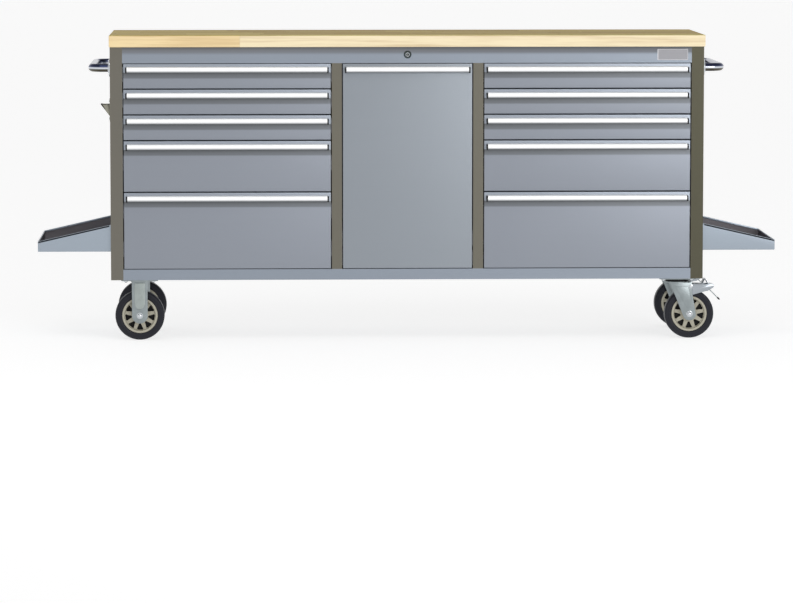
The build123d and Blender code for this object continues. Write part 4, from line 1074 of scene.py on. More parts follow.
def bolt_head(name: str, centre: Point, radius: float, height: float, axis: str,
              side: int) -> Shape:
    """A domed bolt head on a thin washer.

    Args:
        name: the piece's name.
        centre: the middle of the face it sits on.
        radius: the dome's radius.
        height: how far it stands out.
        axis: the axis it stands along.
        side: 1 or -1, the way it stands out.

    Returns:
        The head.
    """
    washer, edge, base = radius * 1.22, 0.0012, 0.0014
    profile = [(0.0, 0.0), (washer, 0.0), (washer, edge), (radius, base)]
    profile += [(radius * math.cos(a), base + (height - base) * math.sin(a))
                for a in (math.radians(15 * k) for k in range(6))]
    profile = [(r, t * side) for r, t in profile + [(0.0, height)]]
    return Shape.turned(name, profile, centre, axis, 24).smooth(50).paint(Tone.CHROME)


@dataclass
class Casters:
    """The fixed casters on the left and the braked swivelling ones on the right."""

    sheet: float = 0.004
    plate_x: float = 0.114
    plate_y: float = 0.102
    plate_corner: float = 0.009
    bolt_x: float = 0.086
    bolt_y: float = 0.074
    bolt: float = 0.0062
    bolt_height: float = 0.0055
    axle_drop: float = 0.113
    leg_inner: float = 0.027
    leg_half: float = 0.0242
    knee: float = 0.006
    rib_half: float = 0.0168
    rib_rise: float = 0.0355
    rib: float = 0.002
    rib_taper: Point = (0.86, 1.0, 0.96)
    shank: float = 0.006
    axle_head: float = 0.0095
    axle_height: float = 0.007
    trail: float = 0.038
    foot: float = 0.0205
    crown_front: float = -0.024
    crown_rear: float = 0.045
    crown_corner: float = 0.004
    race_radius: float = 0.037
    race_height: float = 0.008
    race_bore: float = 0.0065
    kingpin: float = 0.0098
    kingpin_height: float = 0.007
    slope_rib: float = 0.0014
    pin: float = 0.004
    pin_head: float = 0.005
    pin_height: float = 0.0028
    pin_x: float = 0.042
    pin_drop: float = 0.027

    def bolts(self, stem: str, x: float, y: float, top: float) -> list[Shape]:
        """The four bolt heads under one plate."""
        reach_x, reach_y, under = self.bolt_x / 2, self.bolt_y / 2, top - self.sheet
        return [bolt_head(f"{stem}_bolt", (x + sx * reach_x, y + sy * reach_y, under),
                          self.bolt, self.bolt_height, "Z", -1)
                for sx in SIDES for sy in SIDES]

    def plate(self, stem: str, x: float, y: float, top: float) -> Shape:
        """The fixing plate, round at its corners, with its folded edge softened."""
        half_x, half_y = self.plate_x / 2, self.plate_y / 2
        outline = rounded(x - half_x, x + half_x, y - half_y, y + half_y, self.plate_corner)
        plate = Shape.plate(f"{stem}_plate", outline, top - self.sheet, top, "Z")
        return plate.soften(0.0006).paint(Tone.ZINC)

    def leg(self, stem: str, outline: Outline, y: float, side: int) -> Shape:
        """One flat fork leg at a side of the wheel."""
        inner, outer = y + side * self.leg_inner, y + side * (self.leg_inner + self.sheet)
        return Shape.plate(f"{stem}_leg", outline, inner, outer).soften(0.0007).paint(Tone.ZINC)

    def axle(self, stem: str, x: float, y: float, z: float) -> list[Shape]:
        """The axle bolt: a shank through the wheel and a domed head outside each leg."""
        reach = self.leg_inner + self.sheet
        shank = Shape.disc(f"{stem}_shank", (x, y, z), self.shank, sides=24, depth=2 * reach)
        heads = [bolt_head(f"{stem}_axle", (x, y + side * reach, z), self.axle_head * 0.82,
                           self.axle_height, "Y", side) for side in SIDES]
        return [shank.smooth().paint(Tone.ZINC)] + heads

    def rigid(self, place: str) -> Shape:
        """A fixed caster: plate, bends, two legs with a raised panel, bolts and axle."""
        x, y, z = centre_of(f"{place}_left_wheel")
        top = z + self.axle_drop
        stem = f"{place}_rigid_fork"
        half, knee, rib = self.leg_half, self.knee, self.rib_half
        plate = self.plate(stem, x, y, top)
        parts = []
        leg_top = top - self.sheet
        outline = arc((x, z), half, 180, 360, 16)
        outline += [(x + half, leg_top - knee), (x + half + knee, leg_top),
                    (x - half - knee, leg_top), (x - half, leg_top - knee)]
        panel = arc((x, z + self.rib_rise), rib, 180, 360, 12)
        panel += [(x + rib, leg_top - knee), (x - rib, leg_top - knee)]
        for side in SIDES:
            parts.append(self.leg(stem, outline, y, side))
            inner = y + side * (self.leg_inner + self.sheet)
            raised = Shape.plate(f"{stem}_panel", panel, inner, inner + side * self.rib)
            raised.pick(lambda c, n: n.y * side > FACING)
            bpy.ops.transform.resize(value=self.rib_taper)
            # The raised panel's lighter tone is a painted highlight.
            parts.append(raised.leave().soften(0.0009, 3).paint(Tone.PANEL))
        parts += self.bolts(stem, x, y, top) + self.axle(stem, x, y, z)
        return plate.join(*parts).smooth(35)

    def swivel_plate(self, place: str) -> Shape:
        """The fixed half of a swivelling caster: plate, upper race, dust seal, bolts and kingpin."""
        wheel = centre_of(f"{place}_right_wheel")
        x, y = centre_of("swivel_caster_plates").x, wheel.y
        top = wheel.z + self.axle_drop
        stem = f"{place}_swivel_plate"
        under = top - self.sheet
        plate = self.plate(stem, x, y, top)
        r, h, bore = self.race_radius, self.race_height, self.race_bore
        ring = [(bore, 0.0), (r - 0.002, 0.0), (r, -0.0015), (r, -0.0035), (r - 0.003, -0.0045),
                (r - 0.003, -h), (bore, -h)]
        lip = [(r - 0.004, -0.0046), (r - 0.0012, -0.0046), (r - 0.0012, -h), (r - 0.004, -h)]
        # The upper race is painted black like the seal: painted shade in the gap under the plate.
        race, seal = (Shape.turned(f"{stem}_{part}", profile, (x, y, under), "Z").paint(Tone.CAP)
                      for part, profile in (("race", ring), ("seal", lip)))
        pin_z = under - h - self.sheet - 0.0006
        pin = bolt_head(f"{stem}_pin", (x, y, pin_z), self.kingpin, self.kingpin_height, "Z", -1)
        return plate.join(race, seal, pin, *self.bolts(stem, x, y, top)).smooth(35)

    def swivel_fork(self, place: str) -> Shape:
        """The turning half: crown, two slanting legs with a pressed rib, axle and pedal pin."""
        wheel = centre_of(f"{place}_right_wheel")
        x, y, z = wheel.x - self.trail, wheel.y, wheel.z
        stem = f"{place}_swivel_fork"
        top = z + self.axle_drop - self.sheet - self.race_height - 0.0003
        reach = self.leg_inner + self.sheet
        pin_z = z + self.axle_drop - self.pin_drop
        ahead, behind = x + self.crown_rear, x + self.crown_front
        outline = rounded(behind, ahead, y - reach, y + reach, self.crown_corner)
        crown = Shape.plate(f"{stem}_crown", outline, top - self.sheet, top, "Z")
        crown.soften(0.0007).paint(Tone.ZINC)
        r, bore = self.race_radius, self.race_bore
        ring = [(bore, 0.0), (r - 0.001, 0.0), (r, -0.001), (r, -0.0035), (bore, -0.004)]
        race = Shape.turned(f"{stem}_race", ring, (x, y, top), "Z")
        leg = arc((wheel.x, z), self.foot, 200, 352, 14)
        leg += [(ahead, pin_z - 0.012), (ahead, top), (behind, top)]
        slope = [(wheel.x - 0.010, z + 0.020), (wheel.x + 0.008, z + 0.020),
                 (x + 0.034, top - 0.016), (x - 0.006, top - 0.016)]
        parts = [race.paint(Tone.ZINC)]
        for side in SIDES:
            parts.append(self.leg(stem, leg, y, side))
            face = y + side * reach
            rib = Shape.plate(f"{stem}_rib", slope, face, face + side * self.slope_rib)
            parts.append(rib.soften(0.0012, 3).paint(Tone.ZINC))
            parts.append(bolt_head(f"{stem}_pin", (x + self.pin_x, face, pin_z), self.pin_head,
                                   self.pin_height, "Y", side))
        pin = Shape.disc(f"{stem}_pedal_pin", (x + self.pin_x, y, pin_z), self.pin, sides=20,
                         depth=2 * reach)
        parts.append(pin.smooth().paint(Tone.ZINC))
        parts += self.axle(stem, wheel.x, y, z)
        return crown.join(*parts).smooth(35)

    def build(self) -> None:
        """Makes both kinds of caster at both ends of the bench's depth."""
        for place in PLACES:
            self.rigid(place).mount("cabinet", "caster_zinc", "rigid_caster_forks")
            self.swivel_plate(place).mount("cabinet", "caster_zinc", "swivel_caster_plates")
            self.swivel_fork(place).mount(f"{place}_right_fork", "caster_zinc", f"{place}_swivel_fork")


@dataclass
class Pedal:
    """The brake pedal: a pressed channel with a raised tread, and the wire lever that frees it."""

    steel: float = 0.002
    side_gap: float = 0.0011
    barrel: float = 0.006
    cover: float = 0.001
    reach: float = 0.072
    tread: float = 0.046
    rise: float = 0.022
    drop: float = 0.027
    wire: float = 0.0015
    tip: float = 0.0025
    wire_length: float = 0.030

    def channel(self, stem: str, x: float, y: float, z: float) -> Shape:
        """The two cheeks, and the top sheet that rises to the tread between them."""
        inner = Wheel.half_width + self.side_gap
        outer = inner + self.steel
        top = self.barrel + self.cover
        low, end, tread, steel = self.drop, self.reach, self.tread, self.steel
        crest = [(-top, top), (tread - low * 0.55, top), (tread - low * 0.36, top + 0.0016),
                 (tread - 0.004, self.rise - 0.002)]
        crest += arc((tread, self.rise - 0.0032), 0.0032, 140, 30, 4)
        crest += [(tread + low * 0.30, top + 0.0012), (tread + low * 0.46, top),
                  (end - 0.003, top - steel * 0.9), (end, top - steel * 1.8)]
        sheet = Shape.plate(f"{stem}_top", [(x + a, z + b) for a, b in strip(crest, steel * 0.8)],
                            y - outer, y + outer)
        parts = [sheet.soften(0.0004)]
        cheek = [(-top, top - 0.001), (end - 0.004, top - steel)]
        cheek += arc((end - 0.006, -0.0005), 0.006, 50, -60)
        cheek += [(end - 0.020, -2 * top - steel), (tread, -2 * top - steel), (top, -low),
                  (-top * 0.4, -0.8 * low), (-top, -0.5 * low)]
        cheek = [(x + a, z + b) for a, b in cheek]
        for y0 in (y - outer, y + inner):
            parts.append(Shape.plate(f"{stem}_cheek", cheek, y0, y0 + steel).soften(0.0006))
        parts.append(Shape.disc(f"{stem}_barrel", (x, y, z), self.barrel, sides=28, depth=2 * outer))
        first, *rest = parts
        return first.join(*rest).smooth(40).paint(Tone.PEDAL)

    def lever(self, stem: str, x: float, y: float, z: float) -> list[Shape]:
        """The wire that slants down past the tyre, and its dipped tip."""
        slope = math.radians(135)
        top = self.barrel + self.cover
        cheek = y - Wheel.half_width - self.side_gap - self.steel / 2
        start = Vector((x + self.reach - 1.5 * top, cheek, z - 2 * top))
        along = Vector((math.sin(slope), 0.0, math.cos(slope)))
        length, radius, blunt = self.wire_length, self.tip, self.wire_length / 3
        wire_end = start + along * length
        rod = [(0.0, -0.008), (self.wire, -0.008), (self.wire, length), (0.0, length)]
        wire = Shape.turned(f"{stem}_wire", rod, (0.0, 0.0, 0.0), "Z", 14)
        bead = [(0.0, 0.0), (radius * 0.8, 0.0), (radius, 0.002), (radius, blunt - 0.003),
                (radius * 0.5, blunt), (0.0, blunt)]
        tip = Shape.turned(f"{stem}_tip", bead, (0.0, 0.0, 0.0), "Z", 16)
        placed = []
        for shape, base, finish in ((wire, start, Tone.ZINC), (tip, wire_end, Tone.CAP)):
            shape.piece.rotation_euler = (0.0, slope, 0.0)
            shape.piece.location = base
            placed.append(Shape(shape.piece, shape.piece.name).smooth().paint(finish))
        return placed

    def build(self) -> None:
        """Makes both pedals on their pins."""
        casters = Casters()
        for place in PLACES:
            wheel = centre_of(f"{place}_right_wheel")
            x = wheel.x - casters.trail + casters.pin_x
            z = wheel.z + casters.axle_drop - casters.pin_drop
            stem = f"{place}_pedal"
            channel = self.channel(stem, x, wheel.y, z)
            channel.join(*self.lever(stem, x, wheel.y, z))
            channel.mount(f"{place}_brake", "polished_steel", f"{place}_brake_pedal")


@dataclass
class PushHandle:
    """A bent round tube on two flanges at each end of the cabinet."""

    tube: float = 0.0125
    bend: float = 0.034
    flange: float = 0.028
    flange_thickness: float = 0.004
    screw_circle: float = 0.021
    screw: float = 0.0029
    screw_height: float = 0.0025
    side_steps: int = 12

    def tube_shape(self, stem: str, wall: float, reach: float, y0: float, y1: float, z: float) -> Shape:
        """The tube, drawn out from one flange to the other through two bends."""
        knee = reach - self.bend
        tube = Shape.disc(stem, (wall, y0, z), self.tube, "X", 32).pick(lambda c, n: True)
        tube.extrude((knee - wall, 0, 0))
        for y, step in ((y0 + self.bend, (0, y1 - y0 - 2 * self.bend, 0)),
                        (y1 - self.bend, (wall - knee, 0, 0))):
            bpy.ops.mesh.spin(steps=self.side_steps, angle=math.pi / 2, center=(knee, y, z),
                              axis=(0, 0, -1))
            tube.extrude(step)
        # Painted reflection: navy above, a bright band in the middle, olive below.
        chrome = TubeChrome("Tube_chrome", z, self.tube, above=srgb(62, 70, 100),
                            bright=srgb(222, 226, 234), below=srgb(84, 81, 70))
        return tube.leave().mend().smooth(50).paint(chrome)

    def flange_shape(self, stem: str, wall: float, y: float, z: float) -> list[Shape]:
        """A pressed flange with a raised collar, and its three screws."""
        f, t = self.flange, self.flange_thickness
        profile = [(0.0, 0.0), (f, 0.0), (f, t * 0.45), (f - 0.0015, t * 0.8), (f - 0.003, t),
                   (self.tube + 0.0035, t), (self.tube + 0.0025, t + 0.0025),
                   (self.tube - 0.001, t + 0.003), (0.0, t + 0.003)]
        flange = Shape.turned(f"{stem}_flange", profile, (wall, y, z), "X")
        holes = arc((y, z), self.screw_circle, 90, 330, 2)
        return [flange.smooth().paint(Tone.CHROME)] + [
            bolt_head(f"{stem}_screw", (wall + t, *hole), self.screw, self.screw_height, "X", 1)
            for hole in holes]

    def build(self) -> None:
        """Makes the right handle from the built one's box, and mirrors it to the left."""
        low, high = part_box("push_handles")
        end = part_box("side_panels")[1].x
        z = (low.z + high.z) / 2
        reach, y0, y1 = high.x - self.tube, low.y + self.flange, high.y - self.flange
        right = self.tube_shape("right_push_handle", end + self.flange_thickness, reach, y0, y1, z)
        for y in (y0, y1):
            right.join(*self.flange_shape("right_push_handle", end, y, z))
        left = right.mirrored("left_push_handle", 45)
        for shape in (right, left):
            shape.mount("cabinet", "polished_steel", "push_handles")


@dataclass
class SideTray:
    """An open tray on each end, with sloping cheeks, hemmed edges and painted shade on its inner faces.
    """

    sheet: float = 0.0015
    lip: float = 0.0315
    back: float = 0.082
    flat: float = 0.004
    corner: float = 0.002
    hem: float = 0.006
    hem_thickness: float = 0.0034
    lean: float = 0.5

    def inside(self, centre: Vector, normal: Vector, low: Point, high: Point) -> bool:
        """Whether a face of the right tray looks into it, and so gets painted shade, given the tray's
        two corners.
        """
        lean, reach = self.lean, 2 * self.sheet
        return ((normal.z > lean and centre.z < low[2] + reach)
                or (normal.x < -lean and centre.x > high[0] - reach)
                or (normal.y > lean and centre.y < low[1] + reach)
                or (normal.y < -lean and centre.y > high[1] - reach))

    def build(self) -> None:
        """Makes the right tray and mirrors it to the left."""
        low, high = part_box("side_trays")
        x0, x1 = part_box("side_panels")[1].x, high.x
        y0, y1, z0 = low.y, high.y, low.z
        slope = [(x1, z0 + self.lip), (x0 + self.flat, z0 + self.back), (x0, z0 + self.back)]
        tray = Shape.plate("right_tray", [(x0, z0), (x1, z0)] + slope, y0, y1)
        tray.pick_edges(lambda c, d: c.z < z0 + NEAR or (abs(d.z) > FACING and c.x > x1 - NEAR))
        tray.round_edges(self.corner)
        tray.pick(lambda c, n: n.z > self.lean and c.z > z0 + self.lip).drop()
        tray.mend().thicken(self.sheet)
        bands = []
        edge = slope[:2]
        drop = [(x, z - self.hem) for x, z in edge[::-1]]
        for start in (y0, y1 - self.hem_thickness):
            bands.append(Shape.plate("hem", edge + drop, start, start + self.hem_thickness))
        top = z0 + self.lip
        bands.append(Shape.block("hem", (x1 - self.hem_thickness, y0, top - self.hem), (x1, y1, top)))
        for band in bands:
            band.soften(0.0009, 3).paint(Tone.TRAY)
        # Faces that look into the tray get painted shade.
        tray.paint(Tone.TRAY).tint(Tone.TRAY_INSIDE, lambda c, n: self.inside(c, n, low, high))
        tray.join(*bands).smooth()
        for shape in (tray, tray.mirrored("left_tray")):
            shape.mount("cabinet", "body_steel", "side_trays")


@dataclass
class BottleOpener:
    """A screwed plate on the left end, with a folded hood that lifts bottle caps."""

    steel: float = 0.003
    corner: float = 0.006
    hood: float = 0.037
    screw: float = 0.0032
    screw_height: float = 0.0025

    def build(self) -> None:
        """Makes the plate, the hood's sheets and the two screws."""
        low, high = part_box("bottle_opener")
        steel, face = self.steel, high.x - self.steel
        outline = rounded(low.y, high.y, low.z, high.z, self.corner)
        plate = Shape.plate("bottle_opener_plate", outline, face, high.x, "X").soften(0.0006)
        spare = high.z - low.z - self.hood
        top = high.z - spare / 2
        tip, foot = (low.x, top), (face, top - self.hood)
        middle = ((tip[0] + foot[0]) / 2, (tip[1] + foot[1]) / 2)
        lid = [(face, top), tip, (tip[0] + 0.004, top - steel), (face, top - steel)]
        slope = [tip, middle, (middle[0] + 0.002, middle[1] + steel), (tip[0] + 0.006, top)]
        parts = [Shape.plate("hood_top", lid, low.y, high.y)]
        parts += [Shape.plate("hood_cheek", [(face, top), tip, foot], y, y + steel)
                  for y in (low.y, high.y - steel)]
        parts.append(Shape.plate("hood_front", slope, low.y, high.y))
        for part in parts:
            part.soften(0.0008, 3)
        plate.join(*parts).smooth().paint(Tone.OPENER)
        y = (low.y + high.y) / 2
        for z in (high.z - spare / 4, low.z + spare / 4):
            plate.join(bolt_head("opener_screw", (face, y, z), self.screw, self.screw_height, "X", -1))
        plate.mount("cabinet", "polished_steel", "bottle_opener")


@dataclass
class Lock:
    """The barrel's bezel, the plug with its key slot, and the bare plate on the top rail."""

    plug: float = 0.006
    slot_length: float = 0.0042
    slot_width: float = 0.0009
    slot_depth: float = 0.004
    border: float = 0.0022

    def build(self) -> None:
        """Makes the bezel, the plug and the plate."""
        low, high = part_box("lock_barrel")
        x, z = (low.x + high.x) / 2, (low.z + high.z) / 2
        radius, reach, r = (high.x - low.x) / 2, high.y - low.y, self.plug
        collar = [(r + 0.0003, 0.0006), (r + 0.0012, 0.0), (radius - 0.0022, 0.0), (radius, 0.0016),
                  (radius, 0.0024), (radius - 0.0008, 0.0026), (radius - 0.0008, reach),
                  (r + 0.0003, reach)]
        bezel = Shape.turned("lock_bezel", collar, (x, low.y, z), steps=56).smooth(30)
        bezel.paint(Tone.LOCK).mount("cabinet", "lock_chrome", "lock_barrel")
        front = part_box("lock_cylinder")[0].y
        face = [(0.0, 0.0), (r - 0.0014, 0.0), (r - 0.001, 0.0004), (r - 0.0004, 0.0004), (r, 0.0009),
                (r, reach), (0.0, reach)]
        plug = Shape.turned("lock_plug", face, (x, front, z))
        wide, long = self.slot_width, self.slot_length
        slot = [(x - wide, z - long), (x + wide, z - long), (x + wide, z + long), (x - wide, z + long)]
        plug.cut(Shape.plate("slot", slot, front - 0.002, front + self.slot_depth))
        plug.mend().smooth(30).paint(Tone.PLUG).mount("lock_cylinder", "lock_chrome")
        low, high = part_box("badge_plate")
        plate = Shape.block("bare_plate", tuple(low), tuple(high))
        plate.pick(lambda c, n: n.y < -FACING).inset(self.border, -0.0005)
        plate.soften(0.0003).smooth(4).paint(Tone.BADGE_EDGE)
        plate.tint(Tone.BADGE, lambda c, n: n.y < -0.998)
        plate.mount("cabinet", "badge_steel", "badge_plate")


@dataclass
class Slide:
    """A telescopic ball slide: its drawer member, its middle member, its balls and its black bumper."""

    space: float = 0.0127
    steel: float = 0.0012
    web: float = 0.0018
    middle_tip: float = 0.0105
    middle_half: float = 0.0189
    inner_tip: float = 0.0045
    inner_half: float = 0.0153
    outer_inside: float = 0.0213
    play: float = 0.0006
    bumper: float = 0.010
    setback: float = 0.002
    slots: int = 5
    slot_length: float = 0.016
    slot_half: float = 0.0042
    slot_pitch: float = 0.034
    ball: float = 0.0010
    balls: int = 11
    ball_pitch: float = 0.0155
    rib_front: float = 0.014
    rib_back: float = 0.09
    rib_half: float = 0.0062
    rib_corner: float = 0.004
    rivet: float = 0.0032
    rivet_height: float = 0.0022
    rivets: tuple[float, ...] = (0.045, 0.145, 0.245)

    def heights(self, node: str) -> list[float]:
        """The centre heights of a node's slides: one, or a pair one above the other."""
        low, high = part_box(node)
        half = self.outer_inside - 0.0003
        if high.z - low.z < 4 * half:
            return [(low.z + high.z) / 2]
        return [low.z + half, high.z - half]

    def walls(self, node: str) -> tuple[float, float]:
        """Where the cabinet's walls stand on the left and right of a node's slides."""
        low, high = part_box(node)
        return low.x - self.web, high.x + self.web

    def channel(self, name: str, web: float, tip: float, half: float, start: float,
                end: float) -> Shape:
        """A channel with its web at one distance from the wall and its flanges' tips at another."""
        inside = web + math.copysign(self.steel, tip - web)
        wall = half - self.steel
        outline = [(web, -half), (tip, -half), (tip, -wall), (inside, -wall),
                   (inside, wall), (tip, wall), (tip, half), (web, half)]
        return Shape.plate(name, outline, start, end).soften(0.0004).paint(Tone.SLIDE)

    def middle(self, start: float, end: float) -> Shape:
        """The middle member of a left slide, against a wall at 0 and centred on height 0."""
        front = start + self.bumper
        web, tip, pad = self.web, self.middle_tip, self.inner_half * 0.88
        member = self.channel("middle", web, tip, self.middle_half, front, end)
        length, half = self.slot_length / 2, self.slot_half
        first = front + 1.2 * self.slot_length
        slot = rounded(first - length, first + length, -half, half, half * 0.8)
        cutter = Shape.plate("slots", slot, 0.0, web + 2 * self.steel, "X")
        member.cut(cutter.array(self.slots, (0.0, self.slot_pitch, 0.0)))
        parts = [Shape.block("bumper", (web, start, -pad), (tip, front, pad)).soften(0.0015, 3)]
        lever = [(web, front), (tip, front), (tip - 0.001, start + 0.003), (tip - 0.003, start),
                 (web + 0.002, start)]
        low, high = self.inner_half + self.play, self.outer_inside - self.play
        for side in SIDES:
            parts.append(Shape.plate("lever", lever, side * low, side * high, "Z").soften(0.0008))
        for part in parts:
            part.paint(Tone.CAP)
        half_way = (start + end) / 2
        x = (web + tip) / 2 + self.ball
        arch = arc((0.0, 0.0), self.ball, -90, 90)
        for y, z in ((half_way + 0.008, self.middle_half + self.ball),
                     (front + 0.012, self.inner_half + self.ball)):
            for side in SIDES:
                row = Shape.turned("ball", arch, (x, y, side * z), "Z", 10)
                parts.append(row.array(self.balls, (0.0, self.ball_pitch, 0.0)).paint(Tone.CHROME))
        return member.join(*parts).smooth()

    def inner(self, start: float, end: float) -> Shape:
        """The drawer member of a left slide, with its pressed rib and its rivets."""
        member = self.channel("inner", self.space, self.inner_tip, self.inner_half, start, end)
        member.paint(Tone.STRIP)
        face = self.space - self.steel
        half = self.rib_half
        rib = rounded(start + self.rib_front, end - self.rib_back, -half, half, self.rib_corner)
        raised = Shape.plate("rib", rib, face - 0.0008, face, "X").soften(0.0004).paint(Tone.STRIP)
        rivets = [bolt_head("rivet", (face - self.play, start + reach, 0.0), self.rivet,
                            self.rivet_height, "X", -1) for reach in self.rivets]
        return member.join(raised, *rivets).smooth()

    def placed(self, masters: tuple[Shape, Shape], node: str, name: str) -> list[Shape]:
        """Copies of a left and a right member at each of a node's slides."""
        return [master.copy(f"{name}_{side}", (wall, 0.0, z)) for z in self.heights(node)
                for master, side, wall in zip(masters, BAYS, self.walls(node))]

    def pair(self, member: Shape) -> tuple[Shape, Shape]:
        """A left member and its mirror image for the right."""
        return member, member.mirrored(f"{member.piece.name}_mirrored")

    def span(self) -> tuple[float, float]:
        """Where every slide begins and ends, front to back."""
        low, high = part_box("pullout_slides")
        return low.y, high.y

    def build(self) -> None:
        """Makes the middle members of all eleven drawers' slides."""
        masters = self.pair(self.middle(*self.span()))
        owners = [(f"{stem}_slides", f"{stem}_rails") for stem in STEMS]
        for node, body in owners + [("pullout_slides", "pull_out_rails")]:
            first, *rest = self.placed(masters, node, f"{body}_member")
            first.join(*rest).mount(body, "slide_zinc", node)
        for master in masters:
            master.discard()


@dataclass
class DrawerBox:
    """A folded drawer box with turned-in rims, its slide members and its lock catch."""

    sheet: float = 0.0015
    rim: float = 0.007
    corner: float = 0.002
    bar: float = 0.002
    strip_width: float = 0.020
    hook: float = 0.020
    finger: float = 0.010
    slide: Slide = field(default_factory=Slide)

    def tray(self, name: str, low: Point, high: Point) -> Shape:
        """An open box, round along its bottom, with its rims folded in."""
        tray = Shape.block(name, low, high)
        tray.pick_edges(lambda c, d: c.z < low[2] + NEAR).round_edges(self.corner)
        return tray.open_up(2, self.rim).thicken(self.sheet).smooth().paint(Tone.BOX_PAINT)

    def catch(self, bay_left: float, back: float, reach: float, z: float) -> Shape:
        """The hook on the back that the lock strip's finger holds."""
        x, bar = bay_left + self.slide.space + self.strip_width, self.bar
        outline = [(x, back), (x + bar, back), (x + bar, reach - bar), (x + self.hook, reach - bar),
                   (x + self.hook, reach), (x, reach)]
        hook = Shape.plate("catch", outline, z - self.finger / 2, z + self.finger / 2, "Z")
        return hook.soften(0.0004).smooth().paint(Tone.SLIDE)

    def box(self, stem: str, members: tuple[Shape, Shape], back: float) -> Shape:
        """One drawer's box with its members and catch."""
        low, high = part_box(f"{stem}_box")
        left, right = self.slide.walls(f"{stem}_slides")
        space = self.slide.space
        tray = self.tray(f"{stem}_tray", (left + space, low.y, low.z), (right - space, back, high.z))
        catch = self.catch(left, back, high.y, (low.z + high.z) / 2)
        return tray.join(catch, *self.slide.placed(members, f"{stem}_slides", f"{stem}_inner"))

    def build(self) -> None:
        """Makes a box of each of the three sizes and copies it to the drawers that share it."""
        start, end = self.slide.span()
        back = end + self.slide.setback
        members = self.slide.pair(self.slide.inner(start, end))
        made: dict[float, tuple[Vector, Shape]] = {}
        for stem in STEMS:
            low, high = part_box(f"{stem}_box")
            height = round(high.z - low.z, 4)
            if height in made:
                first, model = made[height]
                box = model.copy(f"{stem}_tray", low - first)
            else:
                box = self.box(stem, members, back)
                made[height] = (low, box)
            box.mount(stem, "drawer_paint", f"{stem}_box")
        for member in members:
            member.discard()


